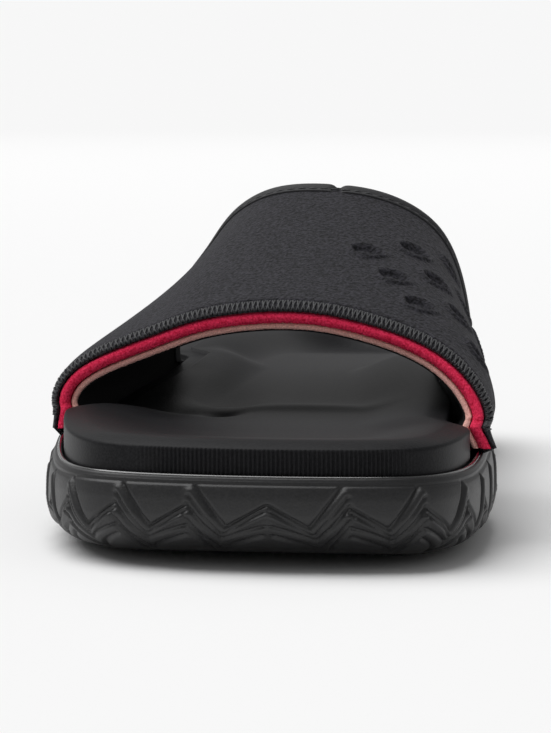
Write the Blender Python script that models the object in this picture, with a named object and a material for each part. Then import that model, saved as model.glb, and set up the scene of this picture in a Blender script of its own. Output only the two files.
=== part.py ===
"""Sport slide sandal for the right foot, as an assembly of five separate pieces.

Lengths are in metres and +Z is up. The toe points to -Y and the heel to +Y. The medial (big toe)
side is +X and the lateral side is -X. The origin lies on the floor, at the centre of the sole's box.

outsole         rubber cup with a raised lip, a chevron side wall and a grooved tread
footbed         moulded foam bed in the cup: ribbed toe wall, rounded rim and dished top
upper           outer strap over the instep, with pressed dimples on its medial side
upper_midlayer  felt layer that shows as a band along the strap's front edge
upper_lining    lining against the foot
"""

import math
from collections import namedtuple

import bmesh
import bpy
import numpy as np
from mathutils import Matrix, Vector

MM = 0.001

# Sole, seen from above
LENGTH = 285 * MM
BALL_WIDTH = 112 * MM
WAIST_WIDTH = 87 * MM
HEEL_WIDTH = 78 * MM

# Sole, seen from the side: heights above the floor
TOE_SPRING = 5.5 * MM
ARCH_RISE = 1.5 * MM
HEEL_SPRING = 2.5 * MM
LIP_TOE_HEIGHT = 22.5 * MM
LIP_CORNER_HEIGHT = 21.6 * MM
LIP_BALL_HEIGHT = 23.5 * MM
LIP_HEEL_HEIGHT = 24 * MM
RIM_TOE_HEIGHT = 30.5 * MM
RIM_BALL_HEIGHT = 32 * MM
RIM_WAIST_HEIGHT = 36.5 * MM
RIM_HEEL_HEIGHT = 32.5 * MM

# Outsole cup
TREAD_INSET = 11 * MM
LIP_INSET = 2.2 * MM
LIP_THICKNESS = 1.4 * MM
CUP_FLOOR = 5 * MM
CHEVRON_PITCH = 18.6 * MM
CHEVRON_RISE = 6.4 * MM
CHEVRON_SPACING = 5.2 * MM
CHEVRON_DROP = 8.6 * MM
SIDE_GROOVE_WIDTH = 1.5 * MM
SIDE_GROOVE_DEPTH = 0.7 * MM
TREAD_PITCH = 13.5 * MM
TREAD_GROOVE_WIDTH = 2.4 * MM
TREAD_GROOVE_DEPTH = 1.8 * MM
TREAD_ZIGZAG_PITCH = 22 * MM
TREAD_ZIGZAG_RISE = 6 * MM

# Footbed
RIM_RADIUS = 2.4 * MM
SHELF_SLOPE = 1.2 * MM
SEAT_LINE_RISE = 0.3 * MM
RIB_FOOT_RISE = 1.0 * MM
RIB_FADE = 8 * MM
RIB_PITCH = 1.1 * MM
RIB_DEPTH = 0.35 * MM
RIB_SPAN = 84 * MM
DISH_DEPTH = 7 * MM
DISH_RUN = 17 * MM
TOE_BAR_RISE = 1.2 * MM
TOE_PRINT_DEPTH = 1.2 * MM
BALL_DENT_DEPTH = 2.8 * MM
BALL_FLANK_RISE = 0.9 * MM
ARCH_SUPPORT_RISE = 4 * MM
HEEL_CUP_DEPTH = 1.6 * MM
RECESS_MARGIN = 6 * MM
RECESS_RAMP = 15 * MM
RECESS_FRONT_LAG = 12 * MM
SPINE_SHARE = 0.72
SPINE_SHIFT = 0.02 * BALL_WIDTH
DISH_RING_SHARES = (0.07, 0.17, 0.29, 0.42, 0.62, 0.85)

# Strap
STRAP_FRONT_HEIGHT = 55.8 * MM
STRAP_REAR_HEIGHT = 80.8 * MM
OUTER_THICKNESS = 1.8 * MM
MIDLAYER_THICKNESS = 2.7 * MM
LINING_THICKNESS = 1.5 * MM
MIDLAYER_REVEAL = 0.9 * MM
STRAP_SEAT_DEPTH = 8 * MM
STRAP_SWELL = 3.6 * MM
STRAP_SWELL_HEIGHT = 8 * MM
STRAP_SWELL_START = 1.6 * MM
CORNER_FLARE_END = 0.10
CORNER_LIFT = 1.6 * MM

# Clearance between pieces that meet
GAP = 0.3 * MM

# How finely the surfaces are cut
COLUMNS_PER_CHEVRON = 4
FOOTBED_COLUMNS = 84
INSTEP_COLUMNS = 20

# Outline of the sole. Station is a share of the length, from the toe. Lateral and medial are shares
# of the width that the row follows, each outwards from the centre line.
OutlineRow = namedtuple("OutlineRow", "station follows lateral medial")
SOLE_OUTLINE = (
    OutlineRow(0.000, BALL_WIDTH, -0.085, 0.085),
    OutlineRow(0.012, BALL_WIDTH, 0.170, 0.340),
    OutlineRow(0.040, BALL_WIDTH, 0.310, 0.440),
    OutlineRow(0.085, BALL_WIDTH, 0.390, 0.487),
    OutlineRow(0.150, BALL_WIDTH, 0.446, 0.507),
    OutlineRow(0.230, BALL_WIDTH, 0.483, 0.507),
    OutlineRow(0.320, BALL_WIDTH, 0.500, 0.491),
    OutlineRow(0.420, BALL_WIDTH, 0.487, 0.443),
    OutlineRow(0.530, WAIST_WIDTH, 0.586, 0.508),
    OutlineRow(0.640, WAIST_WIDTH, 0.532, 0.474),
    OutlineRow(0.740, HEEL_WIDTH, 0.534, 0.520),
    OutlineRow(0.830, HEEL_WIDTH, 0.480, 0.522),
    OutlineRow(0.900, HEEL_WIDTH, 0.430, 0.485),
    OutlineRow(0.955, HEEL_WIDTH, 0.325, 0.390),
    OutlineRow(0.988, HEEL_WIDTH, 0.170, 0.235),
    OutlineRow(1.000, HEEL_WIDTH, -0.032, 0.032),
)

# Underside, as shares of the toe spring, the arch's rise and the heel's rise. Rows with three zeros
# are the flat spots of the forefoot and the heel.
UndersideRow = namedtuple("UndersideRow", "station toe arch heel")
UNDERSIDE = (
    UndersideRow(0.00, 1.00, 0.0, 0.0),
    UndersideRow(0.05, 0.62, 0.0, 0.0),
    UndersideRow(0.10, 0.32, 0.0, 0.0),
    UndersideRow(0.16, 0.09, 0.0, 0.0),
    UndersideRow(0.21, 0.00, 0.0, 0.0),
    UndersideRow(0.43, 0.00, 0.0, 0.0),
    UndersideRow(0.55, 0.00, 1.0, 0.0),
    UndersideRow(0.67, 0.00, 0.0, 0.0),
    UndersideRow(0.92, 0.00, 0.0, 0.0),
    UndersideRow(1.00, 0.00, 0.0, 1.0),
)

# Heights of the cup's lip and of the footbed's rim along the sole
HeightRow = namedtuple("HeightRow", "station lip rim")
SIDE_HEIGHTS = (
    HeightRow(0.00, LIP_TOE_HEIGHT, RIM_TOE_HEIGHT),
    HeightRow(0.12, LIP_CORNER_HEIGHT, RIM_TOE_HEIGHT),
    HeightRow(0.30, LIP_BALL_HEIGHT, RIM_BALL_HEIGHT),
    HeightRow(0.70, LIP_BALL_HEIGHT, RIM_WAIST_HEIGHT),
    HeightRow(1.00, LIP_HEEL_HEIGHT, RIM_HEEL_HEIGHT),
)

# Depth of the footbed's dish along the sole, as shares of DISH_DEPTH
DishRow = namedtuple("DishRow", "station depth")
DISH = (
    DishRow(0.00, 0.30),
    DishRow(0.15, 0.36),
    DishRow(0.32, 0.70),
    DishRow(0.55, 1.00),
    DishRow(1.00, 1.00),
)

# Low forms of the footbed's top: where each lies along the sole, out from the middle line as a share
# of BALL_WIDTH (medial positive), how far it reaches to the front, to the rear and across, and its rise.
BedRow = namedtuple("BedRow", "station out front rear across rise")
BED_FORMS = (
    BedRow(0.325, 0.06, 0.020, 0.030, 0.22, TOE_BAR_RISE),
    BedRow(0.293, -0.125, 0.028, 0.024, 0.035, -TOE_PRINT_DEPTH),
    BedRow(0.400, -0.140, 0.035, 0.110, 0.080, -BALL_DENT_DEPTH),
    BedRow(0.420, -0.245, 0.080, 0.100, 0.040, BALL_FLANK_RISE),
    BedRow(0.560, 0.360, 0.120, 0.120, 0.260, ARCH_SUPPORT_RISE),
    BedRow(0.860, 0.000, 0.100, 0.100, 0.300, -HEEL_CUP_DEPTH),
)

# Side wall of the cup, from the tread's edge to the lip. Height is a share of the wall, and the
# inset is under x TREAD_INSET + over x LIP_INSET.
WallRow = namedtuple("WallRow", "height under over")
CUP_WALL = (
    WallRow(0.00, 1.00, 0.00),
    WallRow(0.07, 0.55, 0.00),
    WallRow(0.18, 0.25, 0.00),
    WallRow(0.34, 0.06, 0.00),
    WallRow(0.50, 0.00, 0.00),
    WallRow(0.68, 0.00, 0.06),
    WallRow(0.84, 0.00, 0.30),
    WallRow(0.95, 0.00, 0.70),
    WallRow(1.00, 0.00, 1.00),
)

# Sections of the last under the strap, at the station of the front height and at that of the rear
# height. Out is a share of the way from the middle line to the widest point of the row's side, and
# up a share of the height from there to the top.
SectionRow = namedtuple("SectionRow", "side front_out front_up rear_out rear_up")
LAST_SECTION = (
    SectionRow(-1, 1.000, 0.00, 1.000, 0.00),
    SectionRow(-1, 0.955, 0.27, 0.960, 0.19),
    SectionRow(-1, 0.870, 0.44, 0.850, 0.33),
    SectionRow(-1, 0.730, 0.59, 0.710, 0.48),
    SectionRow(-1, 0.560, 0.73, 0.580, 0.63),
    SectionRow(-1, 0.370, 0.87, 0.430, 0.82),
    SectionRow(-1, 0.130, 0.965, 0.235, 0.95),
    SectionRow(1, 0.115, 1.00, 0.090, 1.00),
    SectionRow(1, 0.370, 0.95, 0.390, 0.975),
    SectionRow(1, 0.620, 0.83, 0.620, 0.90),
    SectionRow(1, 0.780, 0.69, 0.790, 0.78),
    SectionRow(1, 0.900, 0.48, 0.905, 0.58),
    SectionRow(1, 0.970, 0.25, 0.970, 0.32),
    SectionRow(1, 1.000, 0.00, 1.000, 0.00),
)
FRONT_STATION = 0.263
REAR_STATION = 0.527

# Where the strap stands out over its seat, along the sole, as shares of STRAP_SWELL.
SwellRow = namedtuple("SwellRow", "station lateral medial")
SWELLS = (
    SwellRow(0.150, 1.00, 1.20),
    SwellRow(0.263, 1.15, 1.10),
    SwellRow(0.400, 0.80, 0.85),
    SwellRow(0.527, 0.35, 1.00),
    SwellRow(0.640, 0.20, 0.90),
)

# Front and rear edges of the strap, as shares of the length. Turn runs over the instep, from 0 at
# the lateral lip to 1 at the medial lip.
EdgeRow = namedtuple("EdgeRow", "turn front rear")
STRAP_EDGES = (
    EdgeRow(0.00, 0.256, 0.615),
    EdgeRow(0.20, 0.265, 0.575),
    EdgeRow(0.40, 0.267, 0.537),
    EdgeRow(0.55, 0.263, 0.527),
    EdgeRow(0.70, 0.250, 0.526),
    EdgeRow(0.85, 0.222, 0.535),
    EdgeRow(1.00, 0.188, 0.555),
)

# Lower edge of the strap along the sole, from its front corner (0) to its rear corner (1). Lift is a
# share of CORNER_LIFT above the lip, seat a share of STRAP_SEAT_DEPTH below it.
FootRow = namedtuple("FootRow", "along lift seat")
STRAP_FOOT = (
    FootRow(0.000, 1.00, 0.00),
    FootRow(0.050, 0.80, 0.00),
    FootRow(0.085, 0.30, 0.00),
    FootRow(0.110, 0.00, 0.12),
    FootRow(0.140, 0.00, 1.00),
    FootRow(0.270, 0.00, 1.00),
    FootRow(0.420, 0.00, 1.00),
    FootRow(0.580, 0.00, 1.00),
    FootRow(0.750, 0.00, 1.00),
    FootRow(0.930, 0.00, 1.00),
    FootRow(1.000, 0.00, 0.40),
)

# Columns of the strap near its feet. Above is a share of STRAP_SWELL_HEIGHT over the lip, below a
# share of STRAP_SEAT_DEPTH under it, and follows is how far the column moves with the lower edge.
SeatColumn = namedtuple("SeatColumn", "above below follows")
SEAT_COLUMNS = (
    SeatColumn(0.00, 1.00, 1.00),
    SeatColumn(0.00, 0.50, 0.72),
    SeatColumn(0.00, 0.00, 0.45),
    SeatColumn(0.22, 0.00, 0.33),
    SeatColumn(0.46, 0.00, 0.20),
    SeatColumn(0.72, 0.00, 0.10),
    SeatColumn(1.05, 0.00, 0.00),
)

# Pressed dimples on the medial side of the strap, in rows that slant back towards the sole.
DIMPLE_LENGTH = 9 * MM
DIMPLE_WIDTH = 6 * MM
DIMPLE_DEPTH = 0.8 * MM
DimpleRow = namedtuple("DimpleRow", "turn along")
DIMPLES = (
    DimpleRow(0.620, 0.48),
    DimpleRow(0.690, 0.62),
    DimpleRow(0.760, 0.76),
    DimpleRow(0.675, 0.34),
    DimpleRow(0.745, 0.48),
    DimpleRow(0.815, 0.62),
    DimpleRow(0.730, 0.20),
    DimpleRow(0.800, 0.34),
    DimpleRow(0.870, 0.48),
    DimpleRow(0.855, 0.20),
)

# Colours (red, green, blue, linear) and roughness
Finish = namedtuple("Finish", "red green blue roughness")
FINISHES = {
    "outsole": Finish(0.030, 0.030, 0.033, 0.62),
    "footbed": Finish(0.042, 0.042, 0.045, 0.50),
    "upper": Finish(0.040, 0.040, 0.047, 0.80),
    "upper_midlayer": Finish(0.300, 0.011, 0.038, 0.95),
    "upper_lining": Finish(0.420, 0.290, 0.200, 0.90),
}

STRAP_THICKNESS = OUTER_THICKNESS + MIDLAYER_THICKNESS + LINING_THICKNESS + 2 * GAP
CUP_INNER_INSET = LIP_INSET + LIP_THICKNESS
SEAT_INSET = CUP_INNER_INSET + GAP
RECESS_DEPTH = STRAP_THICKNESS + GAP


def smooth_curve(xs, ys, at):
    """Reads a curve through (xs, ys) that never overshoots its rows and stays flat between equal ones."""
    xs = np.asarray(xs, float)
    ys = np.asarray(ys, float)
    steps = np.diff(xs)
    slopes = np.diff(ys) / steps
    tangents = np.zeros(len(xs))
    tangents[0] = slopes[0]
    tangents[-1] = slopes[-1]
    for i in range(1, len(xs) - 1):
        if slopes[i - 1] * slopes[i] > 0:
            before = 2 * steps[i] + steps[i - 1]
            after = steps[i] + 2 * steps[i - 1]
            tangents[i] = (before + after) / (before / slopes[i - 1] + after / slopes[i])
    at = np.clip(np.asarray(at, float), xs[0], xs[-1])
    i = np.clip(np.searchsorted(xs, at, side="right") - 1, 0, len(steps) - 1)
    t = (at - xs[i]) / steps[i]
    start = (1 + 2 * t) * (1 - t) ** 2 * ys[i] + t * (1 - t) ** 2 * steps[i] * tangents[i]
    end = t ** 2 * (3 - 2 * t) * ys[i + 1] + t ** 2 * (t - 1) * steps[i] * tangents[i + 1]
    return start + end


def closed_curve(angles, values, at):
    """Reads a curve with even bending through values that repeat every full turn of the angle."""
    count = len(angles)
    steps = np.diff(np.append(angles, angles[0] + 2 * math.pi))
    slopes = (np.roll(values, -1) - values) / steps
    matrix = np.zeros((count, count))
    for i in range(count):
        matrix[i, i - 1] += steps[i - 1]
        matrix[i, i] += 2 * (steps[i - 1] + steps[i])
        matrix[i, (i + 1) % count] += steps[i]
    bends = np.linalg.solve(matrix, 6 * (slopes - np.roll(slopes, 1)))
    at = (np.asarray(at, float) - angles[0]) % (2 * math.pi) + angles[0]
    i = np.clip(np.searchsorted(angles, at, side="right") - 1, 0, count - 1)
    j = (i + 1) % count
    t = at - angles[i]
    u = steps[i] - t
    cubic = (bends[i] * u ** 3 + bends[j] * t ** 3) / (6 * steps[i])
    start = (values[i] / steps[i] - bends[i] * steps[i] / 6) * u
    end = (values[j] / steps[i] - bends[j] * steps[i] / 6) * t
    return cubic + start + end


def even_curve(ts, values, first_slope, last_slope, at):
    """Reads a curve with even bending through values, with stated slopes at its two ends."""
    count = len(ts)
    steps = np.diff(ts)
    slopes = np.diff(values) / steps
    matrix = np.zeros((count, count))
    right = np.zeros(count)
    matrix[0, :2] = (2 * steps[0], steps[0])
    right[0] = 6 * (slopes[0] - first_slope)
    matrix[-1, -2:] = (steps[-1], 2 * steps[-1])
    right[-1] = 6 * (last_slope - slopes[-1])
    for i in range(1, count - 1):
        matrix[i, i - 1:i + 2] = (steps[i - 1], 2 * (steps[i - 1] + steps[i]), steps[i])
        right[i] = 6 * (slopes[i] - slopes[i - 1])
    bends = np.linalg.solve(matrix, right)
    i = np.clip(np.searchsorted(ts, at, side="right") - 1, 0, count - 2)
    t = at - ts[i]
    u = ts[i + 1] - at
    cubic = (bends[i] * u ** 3 + bends[i + 1] * t ** 3) / (6 * steps[i])
    start = (values[i] / steps[i] - bends[i] * steps[i] / 6) * u
    end = (values[i + 1] / steps[i] - bends[i + 1] * steps[i] / 6) * t
    return cubic + start + end


def column(rows, name):
    return np.array([getattr(row, name) for row in rows])


def sole_loop(samples=1440):
    """The sole's outline as points, counter-clockwise from the toe, with outward normals."""
    stations = column(SOLE_OUTLINE, "station")
    widths = column(SOLE_OUTLINE, "follows")
    turn = np.arccos(1 - 2 * stations)
    medial = column(SOLE_OUTLINE, "medial") * widths
    lateral = -column(SOLE_OUTLINE, "lateral") * widths
    angles = np.concatenate([turn, 2 * math.pi - turn[-2:0:-1]])
    sides = np.concatenate([medial, lateral[-2:0:-1]])
    at = np.linspace(0, 2 * math.pi, samples, endpoint=False)
    x = closed_curve(angles, sides, at)
    x = (x - (x.max() + x.min()) / 2) * BALL_WIDTH / (x.max() - x.min())
    y = -LENGTH / 2 * np.cos(at)
    points = np.stack([x, y], axis=1)
    along = np.roll(points, -1, axis=0) - np.roll(points, 1, axis=0)
    along /= np.linalg.norm(along, axis=1)[:, None]
    normals = np.stack([along[:, 1], -along[:, 0]], axis=1)
    return points, normals


LOOP_POINTS, LOOP_NORMALS = sole_loop()
LOOP_STEPS = np.linalg.norm(np.roll(LOOP_POINTS, -1, axis=0) - LOOP_POINTS, axis=1)
LOOP_LENGTHS = np.concatenate([[0], np.cumsum(LOOP_STEPS)])
PERIMETER = LOOP_LENGTHS[-1]


def loop_at(lengths):
    """Points and outward normals of the outline at the given lengths along it from the toe."""
    lengths = np.mod(lengths, PERIMETER)
    result = []
    for source in (LOOP_POINTS, LOOP_NORMALS):
        closed = np.vstack([source, source[:1]])
        result.append(np.stack([np.interp(lengths, LOOP_LENGTHS, closed[:, k]) for k in (0, 1)], axis=1))
    points, normals = result
    return points, normals / np.linalg.norm(normals, axis=1)[:, None]


def station_of(y):
    return np.clip((y + LENGTH / 2) / LENGTH, 0, 1)


def underside(station):
    """Height of the tread's face above the floor."""
    stations = column(UNDERSIDE, "station")
    toe = smooth_curve(stations, column(UNDERSIDE, "toe"), station)
    arch = smooth_curve(stations, column(UNDERSIDE, "arch"), station)
    heel = smooth_curve(stations, column(UNDERSIDE, "heel"), station)
    return toe * TOE_SPRING + arch * ARCH_RISE + heel * HEEL_SPRING


def lip_height(station):
    return smooth_curve(column(SIDE_HEIGHTS, "station"), column(SIDE_HEIGHTS, "lip"), station)


def rim_height(station):
    return smooth_curve(column(SIDE_HEIGHTS, "station"), column(SIDE_HEIGHTS, "rim"), station)


def wall_inset(height):
    """Inset of the cup's side at a share of its height."""
    heights = column(CUP_WALL, "height")
    under = smooth_curve(heights, column(CUP_WALL, "under"), height)
    over = smooth_curve(heights, column(CUP_WALL, "over"), height)
    return under * TREAD_INSET + over * LIP_INSET


def side_x(side, inset, y):
    """x of the outline moved in by the inset, on one side (+1 medial, -1 lateral), at y."""
    moved = LOOP_POINTS - LOOP_NORMALS * inset
    chosen = moved[LOOP_NORMALS[:, 0] * side > 0.2]
    order = np.argsort(chosen[:, 1])
    return np.interp(y, chosen[order, 1], chosen[order, 0])


class Shell:
    """Rings of points and the faces between them, for one closed solid."""

    def __init__(self):
        self.points = []
        self.faces = []

    def ring(self, x, y, z):
        start = len(self.points)
        self.points.extend(zip(map(float, x), map(float, y), map(float, z)))
        return list(range(start, len(self.points)))

    def band(self, first, second):
        """Four-sided faces between two closed rings of the same count."""
        count = len(first)
        for i in range(count):
            j = (i + 1) % count
            self.faces.append((first[i], first[j], second[j], second[i]))

    def zipped_band(self, first, first_at, second, second_at):
        """Triangles between two closed rings of different counts, matched by their lengths."""
        i = 0
        j = 0
        while i < len(first) or j < len(second):
            next_i = first_at[i + 1] if i + 1 < len(first) else PERIMETER
            next_j = second_at[j + 1] if j + 1 < len(second) else PERIMETER
            a = first[i % len(first)]
            b = second[j % len(second)]
            if j == len(second) or (i < len(first) and next_i <= next_j):
                self.faces.append((a, first[(i + 1) % len(first)], b))
                i += 1
            else:
                self.faces.append((a, second[(j + 1) % len(second)], b))
                j += 1

    def lid(self, ring, upward):
        """Triangles from side to side across a ring that starts at the toe."""
        heel = max(range(len(ring)), key=lambda k: self.points[ring[k]][1])
        medial = ring[:heel + 1]
        lateral = [ring[0]] + ring[:heel - 1:-1]
        i = 0
        j = 0
        while i < len(medial) - 1 or j < len(lateral) - 1:
            step_medial = j == len(lateral) - 1
            if not step_medial and i < len(medial) - 1:
                step_medial = self.points[medial[i + 1]][1] <= self.points[lateral[j + 1]][1]
            if step_medial:
                face = (lateral[j], medial[i], medial[i + 1])
                i += 1
            else:
                face = (lateral[j], medial[i], lateral[j + 1])
                j += 1
            if len(set(face)) == 3:
                self.faces.append(face if upward else face[::-1])

    def build(self, name):
        mesh = bpy.data.meshes.new(name)
        mesh.from_pydata(self.points, [], self.faces)
        work = bmesh.new()
        work.from_mesh(mesh)
        bmesh.ops.recalc_face_normals(work, faces=work.faces)
        work.to_mesh(mesh)
        work.free()
        finish = FINISHES[name]
        material = bpy.data.materials.new(name)
        material.use_nodes = True
        shader = material.node_tree.nodes["Principled BSDF"]
        shader.inputs["Base Color"].default_value = (finish.red, finish.green, finish.blue, 1)
        shader.inputs["Roughness"].default_value = finish.roughness
        mesh.materials.append(material)
        thing = bpy.data.objects.new(name, mesh)
        bpy.context.collection.objects.link(thing)
        return thing


def triangle_wave(phase):
    """Zigzag between -1 and 1, with its low points at whole phases."""
    return 1 - 4 * np.abs(np.mod(phase, 1) - 0.5)


def build_outsole():
    """Cup of rubber: tread face, rolled side with chevron grooves, lip, inner wall and floor."""
    chevrons = round(PERIMETER / CHEVRON_PITCH)
    count = chevrons * COLUMNS_PER_CHEVRON
    lengths = np.arange(count) * PERIMETER / count
    points, normals = loop_at(lengths)
    zigzag = triangle_wave(np.arange(count) / COLUMNS_PER_CHEVRON)
    shell = Shell()

    def wall_ring(height, depth=0.0):
        spot = points - normals * (wall_inset(height) + depth)[:, None]
        station = station_of(spot[:, 1])
        low = underside(station)
        return shell.ring(spot[:, 0], spot[:, 1], low + height * (lip_height(station) - low))

    wall_height = LIP_BALL_HEIGHT
    half_groove = SIDE_GROOVE_WIDTH / 2 / wall_height
    rings = [wall_ring(np.zeros(count)), wall_ring(np.full(count, 0.07))]
    for line in (1, 0):
        centre = 1 - (CHEVRON_DROP + line * CHEVRON_SPACING) / wall_height
        centre = centre + zigzag * CHEVRON_RISE / 2 / wall_height
        rings.append(wall_ring(centre - half_groove))
        rings.append(wall_ring(centre, np.full(count, SIDE_GROOVE_DEPTH)))
        rings.append(wall_ring(centre + half_groove))
    rings.append(wall_ring(np.full(count, 0.93)))
    rings.append(wall_ring(np.full(count, 1.0)))
    inner = points - normals * CUP_INNER_INSET
    station = station_of(inner[:, 1])
    rings.append(shell.ring(inner[:, 0], inner[:, 1], lip_height(station)))
    rings.append(shell.ring(inner[:, 0], inner[:, 1], underside(station) + CUP_FLOOR))
    for lower, upper in zip(rings, rings[1:]):
        shell.band(lower, upper)
    shell.lid(rings[0], upward=False)
    shell.lid(rings[-1], upward=True)
    outsole = shell.build("outsole")
    merge_flat_faces(outsole)
    cutter = build_tread_cutter()
    cut = outsole.modifiers.new("tread", "BOOLEAN")
    cut.operation = "DIFFERENCE"
    cut.solver = "EXACT"
    cut.object = cutter
    return outsole


def merge_flat_faces(thing):
    """Joins the faces of the tread that lie on the floor into one face for each flat spot."""
    mesh = bmesh.new()
    mesh.from_mesh(thing.data)
    flat = [face for face in mesh.faces if all(abs(v.co.z) < 1e-7 for v in face.verts)]
    bmesh.ops.dissolve_faces(mesh, faces=flat)
    mesh.to_mesh(thing.data)
    mesh.free()


def build_tread_cutter():
    """Zigzag bars that cut the tread's grooves, clear of the rolled edge."""
    vertices = []
    faces = []
    rows = int(LENGTH / TREAD_PITCH)
    for row in range(1, rows):
        centre = -LENGTH / 2 + row * TREAD_PITCH
        margin = TREAD_INSET + TREAD_GROOVE_WIDTH
        if min(centre + LENGTH / 2, LENGTH / 2 - centre) < margin + TREAD_ZIGZAG_RISE:
            continue
        left = side_x(-1, margin, centre) + TREAD_GROOVE_WIDTH
        right = side_x(1, margin, centre) - TREAD_GROOVE_WIDTH
        bends = max(2, 2 * round((right - left) / TREAD_ZIGZAG_PITCH))
        start = len(vertices)
        for k in range(bends + 1):
            x = left + (right - left) * k / bends
            y = centre + TREAD_ZIGZAG_RISE * (k % 2 - 0.5)
            for half in (-TREAD_GROOVE_WIDTH / 2, TREAD_GROOVE_WIDTH / 2):
                low = float(underside(station_of(y + half)))
                vertices.append((x, y + half, low - TREAD_GROOVE_DEPTH))
                vertices.append((x, y + half, low + TREAD_GROOVE_DEPTH))
        for k in range(bends):
            a = start + 4 * k
            b = a + 4
            faces.append((a, a + 2, b + 2, b))
            faces.append((a + 1, b + 1, b + 3, a + 3))
            faces.append((a, b, b + 1, a + 1))
            faces.append((a + 2, a + 3, b + 3, b + 2))
        last = start + 4 * bends
        faces.append((start, start + 1, start + 3, start + 2))
        faces.append((last, last + 2, last + 3, last + 1))
    mesh = bpy.data.meshes.new("tread_cutter")
    mesh.from_pydata(vertices, [], faces)
    work = bmesh.new()
    work.from_mesh(mesh)
    bmesh.ops.recalc_face_normals(work, faces=work.faces)
    work.to_mesh(mesh)
    work.free()
    cutter = bpy.data.objects.new("tread_cutter", mesh)
    bpy.context.collection.objects.link(cutter)
    cutter.hide_render = True
    cutter.display_type = "WIRE"
    return cutter


def smooth_step(value):
    value = np.clip(value, 0, 1)
    return value * value * (3 - 2 * value)


def strap_recess(points, normals):
    """Share of the recess that the strap's foot takes out of the footbed's side, at each column."""
    share = np.zeros(len(points))
    for side, turn in ((-1, 0.0), (1, 1.0)):
        front, rear = strap_stations(turn)
        y = points[:, 1]
        start = -LENGTH / 2 + front * LENGTH - RECESS_MARGIN + RECESS_FRONT_LAG
        end = -LENGTH / 2 + rear * LENGTH + RECESS_MARGIN
        window = smooth_step((y - start) / RECESS_RAMP + 1)
        window = window * smooth_step((end - y) / RECESS_RAMP + 1)
        share = np.where(normals[:, 0] * side > 0, window, share)
    return share


def dish_drop(x, y, inward):
    """How far the footbed's top lies below its rim, inward metres inside the rim's crest."""
    station = station_of(y)
    depth = DISH_DEPTH * smooth_curve(column(DISH, "station"), column(DISH, "depth"), station)
    centre = smooth_step(inward / DISH_RUN)
    rise = 0
    for form in BED_FORMS:
        ahead = np.clip(form.station - station, 0, None) / form.front
        behind = np.clip(station - form.station, 0, None) / form.rear
        across = (x / BALL_WIDTH - form.out) / form.across
        rise = rise + form.rise * np.exp(-ahead ** 2 - behind ** 2 - across ** 2)
    return (depth - rise) * centre


def build_footbed():
    """Foam bed: flat below, ribbed wall at the toe, recessed where the strap seats, dished on top."""
    count = FOOTBED_COLUMNS
    lengths = np.arange(count) * PERIMETER / count
    points, normals = loop_at(lengths)
    recess = strap_recess(points, normals) * RECESS_DEPTH
    shell = Shell()

    def ring_at(inset, height_of):
        spot = points - normals * inset[:, None]
        return shell.ring(spot[:, 0], spot[:, 1], height_of(station_of(spot[:, 1])))

    base = np.full(count, SEAT_INSET)
    shelf_drop = STRAP_SEAT_DEPTH + GAP
    rings = [
        ring_at(base, lambda s: underside(s) + CUP_FLOOR + GAP),
        ring_at(base, lambda s: lip_height(s) - shelf_drop - SHELF_SLOPE),
        ring_at(base + recess, lambda s: lip_height(s) - shelf_drop),
        ring_at(base + recess, lambda s: lip_height(s) + SEAT_LINE_RISE),
    ]
    for lower, upper in zip(rings, rings[1:]):
        shell.band(lower, upper)
    shell.lid(rings[0], upward=False)

    # Ribs on the toe's wall: a finer band between two coarse rings
    ribs = 2 * round(RIB_SPAN / RIB_PITCH / 2)
    half = ribs * RIB_PITCH / 2
    toe_part = np.arange(-2 * ribs // 2, 2 * ribs // 2 + 1) * RIB_PITCH / 2
    rest = lengths[(lengths > half + RIB_PITCH) & (lengths < PERIMETER - half - RIB_PITCH)]
    toe_part = np.mod(toe_part, PERIMETER)
    fine = np.sort(np.concatenate([toe_part, rest]))
    rank = np.where(fine > PERIMETER / 2, fine - PERIMETER, fine)
    raised = np.where(np.abs(rank) <= half + 1e-9, np.round(rank / (RIB_PITCH / 2)) % 2, 0)
    fade = smooth_step((half - np.abs(rank)) / RIB_FADE)
    fine_points, fine_normals = loop_at(fine)
    fine_recess = strap_recess(fine_points, fine_normals) * RECESS_DEPTH
    inset = SEAT_INSET + fine_recess + RIB_DEPTH * raised * fade
    spot = fine_points - fine_normals * inset[:, None]
    station = station_of(spot[:, 1])
    low = shell.ring(spot[:, 0], spot[:, 1], lip_height(station) + RIB_FOOT_RISE)
    high = shell.ring(spot[:, 0], spot[:, 1], rim_height(station) - RIM_RADIUS)
    shell.zipped_band(rings[-1], lengths, low, fine)
    shell.band(low, high)

    # Rounded rim, then the dish in rings that close in on the middle line
    first = None
    previous = None
    for angle in (22, 50, 90):
        turn = math.radians(angle)
        inward = RIM_RADIUS * (1 - math.cos(turn))
        down = RIM_RADIUS * (1 - math.sin(turn))
        ring = ring_at(base + recess + inward, lambda s: rim_height(s) - down)
        if first is None:
            first = ring
        else:
            shell.band(previous, ring)
        previous = ring
    shell.zipped_band(high, fine, first, lengths)
    crest = points - normals * (base + recess + RIM_RADIUS)[:, None]
    spine_y = crest[:, 1] * SPINE_SHARE
    spine_x = np.full(count, SPINE_SHIFT)
    reach = np.hypot(crest[:, 0] - spine_x, crest[:, 1] - spine_y)
    for share in DISH_RING_SHARES:
        x = crest[:, 0] + (spine_x - crest[:, 0]) * share
        y = crest[:, 1] + (spine_y - crest[:, 1]) * share
        z = rim_height(station_of(y)) - dish_drop(x, y, reach * share)
        ring = shell.ring(x, y, z)
        shell.band(previous, ring)
        previous = ring
    shell.lid(previous, upward=True)
    return shell.build("footbed")


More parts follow.
